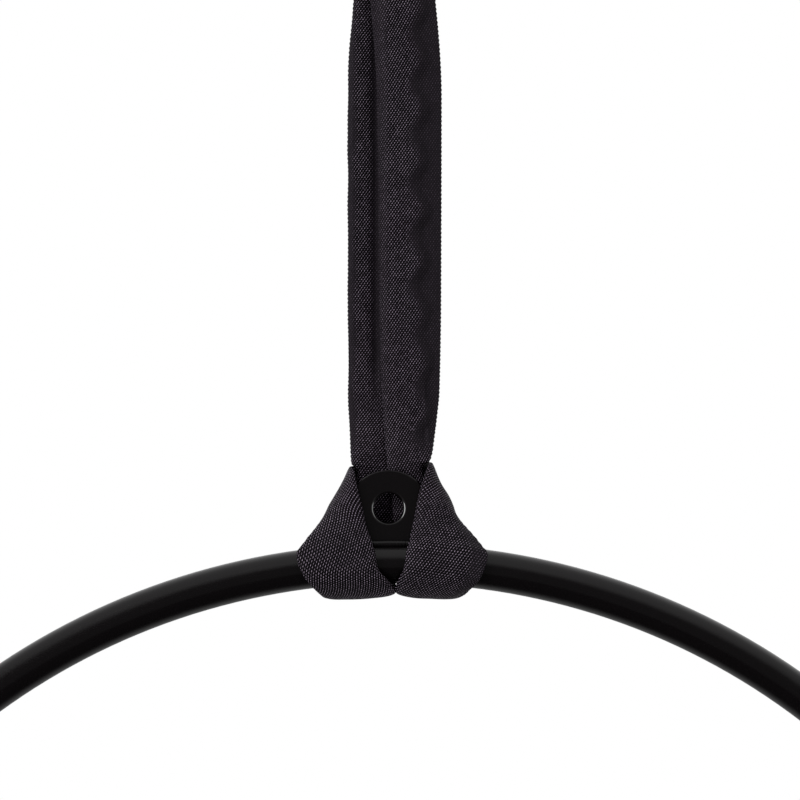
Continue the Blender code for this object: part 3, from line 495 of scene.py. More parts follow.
def carve(name, bm, mat, steps):
    """Piece from a bmesh after boolean steps (operation, other bmesh)."""
    base = keep_piece(name + "_raw", bm, mat)
    helpers = []
    for operation, other in steps:
        tool = keep_piece(name + "_tool", other, mat)
        helpers.append(tool)
        mod = base.modifiers.new(operation, "BOOLEAN")
        mod.operation = operation
        mod.solver = "EXACT"
        mod.object = tool
    bpy.context.view_layer.update()
    result = bpy.data.meshes.new_from_object(base.evaluated_get(bpy.context.evaluated_depsgraph_get()))
    out = bmesh.new()
    out.from_mesh(result)
    for helper in [base] + helpers:
        data = helper.data
        bpy.data.objects.remove(helper, do_unlink=True)
        bpy.data.meshes.remove(data)
    bpy.data.meshes.remove(result)
    bmesh.ops.dissolve_degenerate(out, edges=out.edges[:], dist=0.000003)
    return keep_piece(name, out, mat)


def rod(start, end, radius, sides, chamfer=0.0):
    """Round bar between two points; a chamfer breaks its rims."""
    start, end = Vector(start), Vector(end)
    axis = end - start
    turn = axis.to_track_quat("Z", "Y").to_matrix().to_4x4()
    bm = bmesh.new()
    bmesh.ops.create_cone(bm, cap_ends=True, segments=sides, radius1=radius, radius2=radius,
                          depth=axis.length, matrix=Matrix.Translation((start + end) / 2) @ turn)
    if chamfer:
        soften(bm, end_rims(bm), chamfer)
    return bm


def block(low, high):
    """Box between two corners."""
    bm = bmesh.new()
    size = [b - a for a, b in zip(low, high)]
    middle = [(a + b) / 2 for a, b in zip(low, high)]
    bmesh.ops.create_cube(bm, size=1.0, matrix=Matrix.Translation(middle) @ Matrix.Diagonal((*size, 1.0)))
    return bm


def across_gate(half_x, half_y, low, high):
    """Block centred on the gate's axis, between two heights."""
    return block((GATE_X - half_x, -half_y, low), (GATE_X + half_x, half_y, high))


def hinge_rod(half, radius, sides):
    """Rod along the gate's hinge pin."""
    return rod((GATE_X, -half, PIN_Z), (GATE_X, half, PIN_Z), radius, sides)


def turned(profile, centre, axis, steps):
    """Closed ring or collar: a closed profile spun a full turn."""
    bm = bmesh.new()
    verts = [bm.verts.new(p) for p in profile]
    edges = [bm.edges.new((a, b)) for a, b in zip(verts, verts[1:] + verts[:1])]
    bmesh.ops.spin(bm, geom=verts + edges, cent=centre, axis=axis, angle=TAU, steps=steps, use_merge=True)
    tidy_normals(bm)
    return bm


def skin(bm, rows, *maps):
    """Sheet of a grid bent through rows of points; each map is (UV layer, function of i and j)."""
    tall = len(rows) - 1
    wide = len(rows[0]) - 1
    made = bmesh.ops.create_grid(bm, x_segments=wide, y_segments=tall, size=1.0)["verts"]
    index = {}
    for k, vert in enumerate(made):
        j, i = divmod(k, wide + 1)
        index[vert] = (i, j)
        vert.co = rows[j][i]
    for layer, place_uv in maps:
        for face in bm.faces:
            for loop in face.loops:
                loop[layer].uv = place_uv(*index[loop.vert])


def crown_drop(x):
    """Height of the hoop's centre line beside its crown, below it."""
    return math.sqrt(HOOP_R ** 2 - x ** 2) - HOOP_R


def eased(keys, at):
    """Value at a height from rows that run downwards, along a smooth curve without overshoot."""
    if at >= keys[0][0]:
        return keys[0][1:]
    if at <= keys[-1][0]:
        return keys[-1][1:]
    k = next(i for i in range(len(keys) - 1) if at >= keys[i + 1][0])
    span = keys[k + 1][0] - keys[k][0]
    f = (at - keys[k][0]) / span
    out = []
    for c in range(1, len(keys[0])):
        slopes = [(b[c] - a[c]) / (b[0] - a[0]) for a, b in zip(keys, keys[1:])]
        inner = [0.0 if a * b <= 0 else 2 * a * b / (a + b) for a, b in zip(slopes, slopes[1:])]
        tangents = [slopes[0]] + inner + [slopes[-1]]
        m0, m1 = tangents[k] * span, tangents[k + 1] * span
        p0, p1 = keys[k][c], keys[k + 1][c]
        out.append((2 * f ** 3 - 3 * f ** 2 + 1) * p0 + (f ** 3 - 2 * f ** 2 + f) * m0
                   + (-2 * f ** 3 + 3 * f ** 2) * p1 + (f ** 3 - f ** 2) * m1)
    return tuple(out)


def leg_t(z):
    """Thickness of a leg at a height above the tube's centre."""
    return eased([(SLING_DROP, BIGHT_T), (PAIR_Z, LEG_T), (HITCH_TOP, CHOKE_T), (BAND_LOW, CHOKE_T),
                  (TUBE_R, WRAP_T)], z)[0]


def leg_y(z, rear):
    """Depth of a leg's middle at a height; the rear leg passes behind the front one at the hitch."""
    pair = (LEG_T + GAP) / 2 + 0.0001
    front_low = TAB_FACE + CHOKE_T / 2 + 0.0002
    over = ROD_R + GAP + BIGHT_T / 2
    if rear:
        rear_low = front_low + CHOKE_T + 0.0004
        return eased([(SLING_DROP, over), (PAIR_Z, pair), (HITCH_TOP, rear_low), (0.042, rear_low),
                      (0.014, WRAP_R + 0.0002)], z)[0]
    return eased([(SLING_DROP, -over), (PAIR_Z, -pair), (HITCH_TOP, front_low), (0.034, front_low),
                  (0.028, front_low + 0.0004), (0.014, 0.0148)], z)[0]


def leg_station(z, rear):
    """A station is outer edge, inner edge, thickness, whether it faces straight forwards, and its bow."""
    left, right = eased(REAR_X if rear else FRONT_X, z / MM)
    y = leg_y(z, rear)
    left = Vector((left * MM, y, z))
    right = Vector((right * MM, y, z))
    return (left, right, leg_t(z), True, 0.0) if rear else (right, left, leg_t(z), True, 0.0)


def tube_station(side, angle, outer, inner):
    """Station of a wrap on the tube, at an angle round it from the back."""
    out = []
    for x in (outer, inner):
        x = side * x * MM
        a = math.radians(angle)
        out.append(Vector((x, WRAP_R * math.cos(a), crown_drop(x) + WRAP_R * math.sin(a))))
    return (out[0], out[1], WRAP_T, False, 0.0)


def free_station(side, outer, inner, thick, bend=0.0):
    """Station between two points in mm, off the tube."""
    outer = Vector((side * outer[0], outer[1], outer[2])) * MM
    inner = Vector((side * inner[0], inner[1], inner[2])) * MM
    return (outer, inner, thick, False, bend)


def wrap_stations(rear):
    """One side of the hitch: down its leg, round under the tube and up its wing."""
    side = -1 if rear else 1
    out = [leg_station(z, rear) for z in (HITCH_TOP,) + WRAP_LEG_Z]
    outer = LEFT_OUTER if rear else RIGHT_OUTER
    inner = LEFT_INNER if rear else RIGHT_INNER
    out += [tube_station(side, a, o, i) for a, o, i in zip(WRAP_ANGLES, outer, inner)]
    out += [free_station(side, o, i, WRAP_T * share, bend * MM)
            for o, i, share, bend in (LEFT_WING if rear else RIGHT_WING)]
    return out


def smooth(stations, parts):
    """Catmull-Rom stations between the given ones."""
    out = []
    count = len(stations)
    for i in range(count - 1):
        rows = [stations[max(i - 1, 0)], stations[i], stations[i + 1], stations[min(i + 2, count - 1)]]
        for s in range(parts):
            f = s / parts
            mix = []
            for k in (0, 1, 2, 4):
                a, b, c, d = (row[k] for row in rows)
                mix.append(0.5 * (2 * b + (c - a) * f + (2 * a - 5 * b + 4 * c - d) * f * f
                                  + (3 * b - 3 * c + d - a) * f ** 3))
            out.append((mix[0], mix[1], mix[2], rows[1][3] and rows[2][3], mix[3]))
    out.append(stations[-1])
    return out


def frames(stations):
    """Rows of middle, across, through, width, thickness, bend, the yarns' lean and the running length.

    The lean follows the inner edge, evened out along the way as cloth does.
    """
    mids = [(row[0] + row[1]) / 2 for row in stations]
    out = []
    last = Vector((0, 1, 0))
    run = 0.0
    for i, (a, b, thick, flat, bend) in enumerate(stations):
        across = (b - a).normalized()
        tangent = mids[min(i + 1, len(mids) - 1)] - mids[max(i - 1, 0)]
        through = across.cross(tangent).normalized()
        if flat:
            through = Vector((0, 1, 0))
        if through.dot(last) < 0:
            through = -through
        last = through
        if i:
            run += (b - stations[i - 1][1]).length
        edge = (stations[min(i + 1, len(mids) - 1)][1] - stations[max(i - 1, 0)][1]).normalized()
        out.append([mids[i], across, through, (b - a).length, thick, bend, -across.dot(edge), run])
    leans = [row[6] for row in out]
    for row in out:
        near = [(math.exp(-((other[7] - row[7]) / LEAN_REACH) ** 2), lean)
                for other, lean in zip(out, leans)]
        row[6] = sum(w * lean for w, lean in near) / sum(w for w, _ in near)
    return out


def outline(half_w, half_t, count):
    """Flattened sleeve's outline, (across, through) at even arc steps from the outer edge, closed."""
    fine = 480
    pts = []
    for i in range(fine + 1):
        a = math.pi + TAU * i / fine
        c, s = math.cos(a), math.sin(a)
        pts.append((half_w * math.copysign(abs(c) ** (2 / SLEEVE_SQUARE), c),
                    half_t * math.copysign(abs(s) ** (2 / SLEEVE_SQUARE), s)))
    lengths = [0.0]
    for a, b in zip(pts, pts[1:]):
        lengths.append(lengths[-1] + math.hypot(b[0] - a[0], b[1] - a[1]))
    out = []
    j = 0
    for k in range(count + 1):
        want = lengths[-1] * k / count
        while j < fine - 1 and lengths[j + 1] < want:
            j += 1
        f = (want - lengths[j]) / (lengths[j + 1] - lengths[j])
        (u0, v0), (u1, v1) = pts[j], pts[j + 1]
        out.append((u0 + (u1 - u0) * f, v0 + (v1 - v0) * f, want - lengths[-1] / 2))
    out[-1] = (out[0][0], out[0][1], out[-1][2])
    return out


def sleeve_rows(rows, count, dent, weft, start=0.0, sense=1.0):
    """Points and marks (U, V, painted shade) of a sleeve along framed rows.

    dent(place, across share, side) gives how far it is pushed out and how much painted shade lies there.

    U is the way round from the inner edge, V the way along it, so the yarns run parallel to that edge.
    """
    places, uvs = [], []
    for row in rows:
        mid, across, through, wide, thick, bend, skew, run = row
        pts = outline(wide / 2, thick / 2, count)
        ring, marks = [], []
        square = math.sqrt(1 - min(skew ** 2, 0.8))
        for u, v, arc in pts:
            share = 2 * u / wide
            lift = bend * (1 - share ** 2)
            away = wide / 2 - u
            push, painted_shade = dent(mid + across * u, share, v / (thick / 2))
            mark = start + sense * (run + away * skew)
            push += EDGE_LOOPS * held((abs(share) - 0.9) / 0.1) * math.cos(TAU * mark / (2 * weft))
            out = across * (u / (wide / 2) ** 2) * 0.3 + through * (v / (thick / 2) ** 2)
            ring.append(CROWN + mid + across * u + through * (v + lift) + out.normalized() * push)
            marks.append((arc * square, mark, painted_shade))
        places.append(ring)
        uvs.append(marks)
    return places, uvs


def sleeve_piece(name, places, uvs, mat):
    """Closed tube of cloth with its two maps."""
    bm = bmesh.new()
    # maps: the weave, and the painted shade that dulls the floats' painted glints
    for map_name in ("weave", "painted_shade"):
        bm.loops.layers.uv.new(map_name)
    layers = bm.loops.layers.uv
    skin(bm, places, (layers["weave"], lambda i, j: uvs[j][i][:2]),
         (layers["painted_shade"], lambda i, j: (uvs[j][i][2], 0.0)))
    bmesh.ops.remove_doubles(bm, verts=bm.verts[:], dist=0.000002)
    ring = places[len(places) // 2]
    centre = sum(ring[:-1], Vector()) / (len(ring) - 1)
    bm.normal_update()
    score = sum((f.calc_center_median() - centre).dot(f.normal)
                for f in bm.faces if (f.calc_center_median() - centre).length < 0.012)
    if score < 0:
        bmesh.ops.reverse_faces(bm, faces=bm.faces[:])
    return keep_piece(name, bm, mat, sharp=75.0, merge=0)


def ramp(reach, length):
    """0 up to a fold's start, then rising ever faster."""
    return (max(0.0, reach) / length) ** 1.3


def held(value):
    """Kept between 0 and 1."""
    return min(1.0, max(0.0, value))


def leg_fade(z):
    """A leg's folds die out above the hitch and below the connector; z in mm."""
    return held((z - HITCH_MM) / 12) * held((NECK_TOP / MM - z) / 18)


def front_dent(depth):
    """Front leg: both sides turn back, the right one in puckers, with a ridge beside it low down; painted
    shade where they turn back.
    """
    def dent(place, share, side):
        z = place.z / MM
        k = place.x / MM
        front = held(-1.6 * side)
        pucker = math.cos((z - 256.2) / 5.09) + 0.5 * noise.noise(Vector((0.3, 1.7, z / 23.0)))
        # the right side turns back from here, in mm right of the middle, and the left side a little
        turn = 16.4 + 3.6 * pucker - 3.4 * held((z - 140) / 40) - max(0.0, 105 - z) * 0.06
        back = 6.2 * ramp(k - turn, 11.0) + 2.2 * ramp(-4.9 - k, 5.0)
        wave = math.exp(-((k - turn + 3.0) / 5.0) ** 2) * pucker
        soft = noise.noise(Vector((k / 9.0, 3.1, z / 15.0)))
        ridge_x = 19.2 + max(0.0, 105 - z) * 0.115
        ridge = 1.3 * math.exp(-((k - ridge_x) / 0.9) ** 2) * held((135 - z) / 30)
        # painted shade: on the left edge, and on the right side from where it turns back from the light
        left = 0.45 * held((-3.4 - k) / 1.5) + 0.4 * held((-7.4 - k) / 2.0)
        painted_shade = max(held((k - turn + 3.0) / 5.5), left)
        sink = min(back, 4.4 * held(-side))
        push = leg_fade(z) * (front * (depth * (0.55 * wave + 0.7 * soft) + ridge * MM) - sink * MM)
        return push, leg_fade(z) * held((0.4 - side) / 0.3) * painted_shade
    return dent


def rear_dent(depth):
    """Rear leg: painted shade on its left side and in the crease by the front leg's edge, its face sunk
    towards that edge, soft on its back.
    """
    def dent(place, share, side):
        z = place.z / MM
        k = place.x / MM
        turn = -23.4 + 0.9 * math.cos(z / 7.3) + 0.8 * noise.noise(Vector((5.3, 0.7, z / 17.0)))
        soft = noise.noise(Vector((k / 8.0, 7.7, z / 17.0)))
        clear = held((-13.0 - k) / 5.0) if side < 0 else 1.0
        crease = held(-2.0 * side) * held((z - 88) / 40)
        # the face falls away from the fold on the left, deepest in the crease at the front leg's edge
        slope = 0.28 * max(0.0, min(k, CREASE_MM) + 26.0) * held((6.0 - k) / 12.0)
        slope += 1.2 * math.exp(-((k + 11.4 + 0.4 * soft) / 2.9) ** 2)
        push = leg_fade(z) * (depth * 0.7 * soft * clear - slope * crease * MM)
        # painted shade on the left side where it turns away, and in the crease beside the front leg's edge
        painted_shade = max(held((turn - k) / 2.6), held((k + 16.0) / 3.0) * crease)
        return push, leg_fade(z) * held((0.4 - side) / 0.3) * painted_shade
    return dent


def hitch_dent(depth):
    """The legs' folds down to the bight; below it soft wings, the right one rolled back at its edge, with
    painted shade along that roll.
    """
    rear, front = rear_dent(depth), front_dent(depth)
    between = (leg_y(HITCH_TOP, True) + leg_y(HITCH_TOP, False)) / 2

    def dent(place, share, side):
        z = place.z / MM
        if z > HITCH_MM:
            return (rear if place.y > between else front)(place, share, side)
        soft = noise.noise(place * 62.0) + 0.5 * noise.noise(place * 140.0)
        wing = held(-place.y / 0.006)
        roll = 2.6 * MM * ramp(-0.5 - share, 0.5) * held(place.x / 0.01) * held((58 - z) / 12)
        push = depth * soft * held((HITCH_MM - z) / 6) * (0.2 + 0.35 * wing) - wing * max(0.0, side) * roll
        # painted shade along the right wing's rolled-back outer edge
        return push, wing * held((-0.55 - share) / 0.1) * held(place.x / 0.01) * 0.7
    return dent


class HOOP_OT_ring(bpy.types.Operator):
    """Hoop tube with the ground butt weld at its foot"""
    bl_idname = "hoop.ring"
    bl_label = "Hoop ring"

    def execute(self, context):
        s = context.scene.hoop_dress
        mat = gloss_coat(s)
        bm = bmesh.new()
        start = Vector((0, 0, HOOP_Z + HOOP_R))
        upright = Matrix.Translation(start) @ Matrix.Rotation(math.pi / 2, 4, "Y")
        made = bmesh.ops.create_circle(bm, segments=s.sides, radius=TUBE_R, matrix=upright)["verts"]
        bmesh.ops.spin(bm, geom=made + edges_of(made), cent=(0, 0, HOOP_Z), axis=(0, 1, 0), angle=TAU,
                       steps=s.steps, use_merge=True)
        tidy_normals(bm)
        tube = keep_piece("hoop_ring_tube", bm, mat)
        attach(tube, "hoop")
        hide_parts("hoop_tube")

        bottom = HOOP_Z - HOOP_R
        skin_z = bottom + TUBE_R - 0.0002
        shape = [(2.6, 0.55), (1.7, 0.95), (0.6, 1.35)]
        half = [(BEAD_HALF / MM, -0.6), (BEAD_HALF / MM, 0.0)] + shape
        profile = [Vector((-x * MM, 0, skin_z + h * MM)) for x, h in half[1:]]
        profile += [Vector((x * MM, 0, skin_z + h * MM)) for x, h in reversed(half)]
        profile.append(Vector((-BEAD_HALF, 0, skin_z - 0.0006)))
        bead = turned(profile, (0, 0, bottom), (1, 0, 0), 96)
        for vert in bead.verts:
            angle = math.atan2(vert.co.z - bottom, vert.co.y)
            radius = math.hypot(vert.co.z - bottom, vert.co.y)
            if radius > TUBE_R + 0.0003:
                wave = 0.00012 * math.cos(angle * TUBE_R / s.ripple * TAU + abs(vert.co.x) * 900)
                vert.co.y += math.cos(angle) * wave
                vert.co.z += math.sin(angle) * wave
        piece = keep_piece("hoop_butt_bead", bead, mat)
        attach(piece, "hoop")
        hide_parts("hoop_butt_weld")
        recoat("hoop_spigot", bare_steel(context.scene.hoop_connector))
        return {"FINISHED"}


class HOOP_OT_tab(bpy.types.Operator):
    """Welded hanging tab and the weld round its foot"""
    bl_idname = "hoop.tab"
    bl_label = "Hanging tab"

    def execute(self, context):
        s = context.scene.hoop_dress
        mat = gloss_coat(s)
        arc_z = CROWN_Z + TUBE_R + TAB_H - TAB_W / 2
        hole_z = CROWN_Z + TUBE_R + TAB_HOLE_H
        foot_z = CROWN_Z + TAB_FOOT
        bm = bmesh.new()
        upright = Matrix.Rotation(math.pi / 2, 4, "X")
        rings = []
        for radius, z in ((TAB_W / 2, arc_z), (TAB_HOLE_D / 2, hole_z)):
            made = bmesh.ops.create_circle(bm, segments=96, radius=radius,
                                           matrix=Matrix.Translation((0, TAB_T / 2, z)) @ upright)["verts"]
            rings.append(made)
        for vert in rings[0]:
            drop = arc_z - vert.co.z
            if drop > 0:
                # the round's lower half is drawn out to the tab's straight sides and foot
                x = vert.co.x
                reach = max(abs(x) / (TAB_W / 2), drop / (TAB_W / 2))
                vert.co.x = x / reach
                vert.co.z = arc_z - drop / reach * (arc_z - foot_z) / (TAB_W / 2)
        loops = [edges_of(ring) for ring in rings]
        bmesh.ops.bridge_loops(bm, edges=loops[0] + loops[1])
        bmesh.ops.solidify(bm, geom=bm.faces[:], thickness=TAB_T)
        tidy_normals(bm)
        middle = sum((v.co.y for v in bm.verts)) / len(bm.verts)
        bmesh.ops.translate(bm, vec=(TAB_X, -middle, 0), verts=bm.verts[:])
        hole = Vector((TAB_X, 0, hole_z))
        rubbed = bm.faces.layers.float.new("rubbed")
        for inner, offset in ((True, HOLE_ROUND), (False, TAB_ROUND)):
            rims = []
            for edge in bm.edges:
                a, b = (v.co for v in edge.verts)
                near = math.hypot(a.x - hole.x, a.z - hole.z) < TAB_HOLE_D / 2 + 0.0005
                if edge.calc_face_angle(0.0) > 1.0 and abs(a.y - b.y) < 0.0001 and near == inner:
                    rims.append(edge)
            made = soften(bm, rims, offset, 6)
            if inner:
                for face in made:
                    out = face.calc_center_median() - hole
                    face[rubbed] = (abs(out.x) / math.hypot(out.x, out.z)) ** 3
        plate = keep_piece("hanging_tab", bm, mat, sharp=35.0)
        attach(plate, "hoop")
        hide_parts("tab")
        bead = self.weld(s, mat)
        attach(bead, "hoop")
        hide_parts("tab_weld")
        return {"FINISHED"}

    def weld(self, s, mat):
        """Rippled bead round the tab's foot, lying in the corner with the tube."""
        # the bead's middle runs just outside the tab, round its corners too
        half_x = TAB_W / 2 + 0.0006
        half_y = TAB_T / 2 + 0.0008
        corner = 0.0024
        step = 0.00035
        signs = ((1, 1), (-1, 1), (-1, -1), (1, -1))
        centres = [Vector((sx * (half_x - corner), sy * (half_y - corner))) for sx, sy in signs]
        path = []
        for k, centre in enumerate(centres):
            arc = [math.radians(90 * k + 90 * i / 8) for i in range(9)]
            path += [(centre + Vector((math.cos(a), math.sin(a))) * corner, a) for a in arc]
            onward = centres[(k + 1) % 4] + Vector((math.cos(arc[-1]), math.sin(arc[-1]))) * corner
            last = path[-1][0]
            count = int((onward - last).length / step)
            path += [(last.lerp(onward, i / count), arc[-1]) for i in range(1, count)]
        rows = []
        run = 0.0
        for i, (p, a) in enumerate(path):
            run += (p - path[i - 1][0]).length if i else 0.0
            out = Vector((math.cos(a), math.sin(a), 0.0))
            y = p.y + out.y * WELD_R / 2
            x = p.x + TAB_X
            base = Vector((x, p.y, crown_drop(x) + math.sqrt(TUBE_R ** 2 - y ** 2) + WELD_LIFT))
            saw = run / s.ripple % 1.0
            swell = math.sin(math.pi * saw ** 0.7)
            wander = noise.noise(Vector((run * 180, 0, 0)))
            ring = []
            for j in range(17):
                t = TAU * j / 16
                r = WELD_R * (1.0 + 0.10 * swell + 0.08 * wander)
                ring.append(CROWN + base + out * (math.cos(t) * r) + Vector((0, 0, math.sin(t) * r)))
            rows.append(ring)
        rows.append([p.copy() for p in rows[0]])
        bm = bmesh.new()
        skin(bm, rows)
        tidy_normals(bm)
        return keep_piece("tab_foot_weld", bm, mat, sharp=60.0)


class HOOP_OT_sling(bpy.types.Operator):
    """Round sling: woven sleeve over the connector, down both legs and round the hitch"""
    bl_idname = "hoop.sling"
    bl_label = "Round sling"

    def execute(self, context):
        s = context.scene.hoop_sling
        mat = sleeve_fabric(s)
        count = s.around
        marks = [NECK_TOP, NECK_LOW, CHOKE_NECK_TOP, HITCH_TOP]
        heights = []
        for high, low in zip(marks, marks[1:]):
            parts = max(4, round((high - low) / s.row))
            heights += [high + (low - high) * i / parts for i in range(parts)]
        heights.append(HITCH_TOP)
        # the yarns are counted round the loop, from the rear leg's top down
        rear, front = (frames([leg_station(z, back) for z in heights]) for back in (True, False))
        along = self.hitch(s, mat, count, rear[-1][7]) + front[-1][7]
        legs = (("rear", rear, sleeve_rows(rear, count, rear_dent(s.pucker), s.weft)),
                ("front", front, sleeve_rows(front, count, front_dent(s.pucker), s.weft, along, -1.0)))
        self.turn(s, mat, count, along)
        spans = (("neck", NECK_TOP, NECK_LOW, "sling_turn", "upper_sling", ["neck"]),
                 ("leg", NECK_LOW, CHOKE_NECK_TOP, "upper_sling", "lower_sling", ["upper", "lower"]),
                 ("choke_neck", CHOKE_NECK_TOP, HITCH_TOP, "lower_sling", "hoop", ["choke_neck"]))
        for word, rows, (places, uvs) in legs:
            for part, high, low, above, below, nodes in spans:
                inside = [i for i, row in enumerate(rows) if low - 1e-6 <= row[0].z <= high + 1e-6]
                a, b = inside[0], inside[-1] + 1
                piece = sleeve_piece(f"sling_{part}_{word}_fabric", places[a:b], uvs[a:b], mat)
                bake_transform(piece)
                for node in nodes:
                    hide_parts(f"sling_{node}_{word}_sleeve", f"sling_{node}_{word}_core")
        return {"FINISHED"}

    def hitch(self, s, mat, count, start):
        """Both wraps, both wings and the bight behind the legs, as one stretch; returns V at its end."""
        band = [free_station(1, low, top, BAND_BACK_T * share) for low, top, share in BAND_ROUTE]
        stations = wrap_stations(True) + band + list(reversed(wrap_stations(False)))
        rows = frames(smooth(stations, HITCH_PARTS))
        places, uvs = sleeve_rows(rows, count, hitch_dent(s.pucker), s.weft, start)
        piece = sleeve_piece("sling_hitch_fabric", places, uvs, mat)
        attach(piece, "hoop")
        for node in ("wrap_left", "wrap_right", "choke_band"):
            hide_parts(f"sling_{node}_sleeve", f"sling_{node}_core")
        return start + rows[-1][7]

    def turn(self, s, mat, count, front_end):
        """Stretch over the connector's lower bow, from the rear leg's top to the front leg's."""
        over = ROD_R + GAP + BIGHT_T / 2
        steps = 90
        shares = [i / 18 for i in range(18)]
        rings = [self.shoulder(f, True, count) for f in shares]
        for k in range(steps + 1):
            a = math.radians(90 - 180 * k / steps)
            ring = []
            for u, v, arc in outline(LEG_W / 2, BIGHT_T / 2, count):
                m = over + v
                rho = BOW_R - m * math.cos(a)
                alpha = u / BOW_R
                low_z = BOW_LOW_Z - rho * math.cos(alpha)
                ring.append((Vector((rho * math.sin(alpha), m * math.sin(a), low_z)), arc))
            rings.append(ring)
        rings += [self.shoulder(f, False, count) for f in reversed(shares)]
        sums = [sum((p for p, _ in ring), Vector()) for ring in rings]
        runs = [0.0]
        for before, after in zip(sums, sums[1:]):
            runs.append(runs[-1] + (after - before).length / (count + 1))
        # V runs back from the rear leg's top; its length is eased so that the yarns meet the front leg's
        gap = (front_end + runs[-1]) % (2 * s.weft)
        pull = 1.0 - (gap if gap < s.weft else gap - 2 * s.weft) / runs[-1]
        places = [[p for p, _ in ring] for ring in rings]
        uvs = [[(arc, -run * pull, 0.0) for _, arc in ring] for ring, run in zip(rings, runs)]
        piece = sleeve_piece("sling_bight_fabric", places, uvs, mat)
        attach(piece, "sling_turn")
        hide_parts("sling_bight_sleeve", "sling_bight_core")

    def shoulder(self, share, rear, count):
        """Ring of points, each with its arc, between a leg's top and the bow."""
        sense = 1 if rear else -1
        left, right, thick, _, _ = leg_station(NECK_TOP + (SLING_DROP - NECK_TOP) * share, rear)
        mid = (left + right) / 2
        curl = share * share
        ring = []
        for u, v, arc in outline((right - left).length / 2, thick / 2, count):
            bow = (mid.x + u) / BOW_R
            x = BOW_R * (bow * (1.0 - curl) + math.sin(bow) * curl)
            z = mid.z + curl * BOW_R * (1.0 - math.cos(bow))
            ring.append((CROWN + Vector((x, mid.y + sense * v, z)), arc))
        return ring


class HOOP_OT_join(bpy.types.Operator):
    """Stitched cover over the sleeve's join, behind the rear leg"""
    bl_idname = "hoop.join_patch"
    bl_label = "Sleeve join"

    def execute(self, context):
        s = context.scene.hoop_sling
        mat = sleeve_fabric(s)
        top = NECK_LOW - 0.004
        low = top - PATCH_H
        steps = 30
        count = 44

        def at(z, share, lift):
            """Point on the rear leg's back; share runs -1 to 1 across the patch."""
            left, right, thick, _, _ = leg_station(z, True)
            mid = (left + right) / 2
            half = (right - left).length / 2
            u = half * PATCH_SPAN * share
            v = thick / 2 * (1 - abs(u / half) ** SLEEVE_SQUARE) ** (1 / SLEEVE_SQUARE)
            return CROWN + mid + Vector((u, v + lift, 0))

        rows, uvs = [], []
        for j in range(steps + 1):
            z = top + (low - top) * j / steps
            rim = max(0.0, 1 - min(j, steps - j) / 1.5)
            ring, marks = [], []
            for i in range(count + 1):
                share = -1 + 2 * i / count
                side = max(0.0, 1 - min(i, count - i) / 1.5)
                lift = 0.0004 + PATCH_T * 1.5 * (1 - max(rim, side) ** 2 * 0.6)
                lift += 0.00012 * noise.noise(Vector((share * 9, z * 260, 1.3)))
                ring.append(at(z, share, lift))
                marks.append((share * PATCH_HALF, top - z))
            rows.append(ring)
            uvs.append(marks)
        bm = bmesh.new()
        skin(bm, rows, (bm.loops.layers.uv.new("weave"), lambda i, j: uvs[j][i]))
        bm.normal_update()
        if sum(f.normal.y for f in bm.faces) < 0:
            bmesh.ops.reverse_faces(bm, faces=bm.faces[:])
        bmesh.ops.solidify(bm, geom=bm.faces[:], thickness=PATCH_T)
        patch = keep_piece("sling_join_cover", bm, mat, sharp=50.0)
        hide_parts("sling_join_patch")
        self.ride_leg(patch)

        thread = sewing_thread(s)
        bm = bmesh.new()
        pitch = (PATCH_H - 0.006) / 13
        for share in (-0.90, -0.84, 0.84, 0.90):
            for i in range(13):
                z = top - 0.003 - pitch * i
                self.stitch(bm, at(z, share, SEAM_RISE), at(z - pitch * STITCH_SHARE, share, SEAM_RISE))
        reach = 0.86
        pitch = 2 * reach / 11
        for z in (top - 0.0028, top - 0.0052, low + 0.0052, low + 0.0028):
            for i in range(11):
                share = -reach + pitch * i
                self.stitch(bm, at(z, share, SEAM_RISE), at(z, share + pitch * STITCH_SHARE, SEAM_RISE))
        seams = keep_piece("sling_join_stitches", bm, thread)
        self.ride_leg(seams)
        return {"FINISHED"}

    def ride_leg(self, piece):
        """Bakes the piece's placement into its points."""
        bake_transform(piece)

    def stitch(self, bm, a, b):
        """One sunk stitch: a small spindle between its two holes."""
        axis = b - a
        turn = axis.to_track_quat("X", "Z").to_matrix().to_4x4()
        size = Matrix.Diagonal((axis.length / 2, 0.0004, 0.0003, 1))
        bmesh.ops.create_uvsphere(bm, u_segments=6, v_segments=5, radius=1.0,
                                  matrix=Matrix.Translation((a + b) / 2) @ turn @ size)


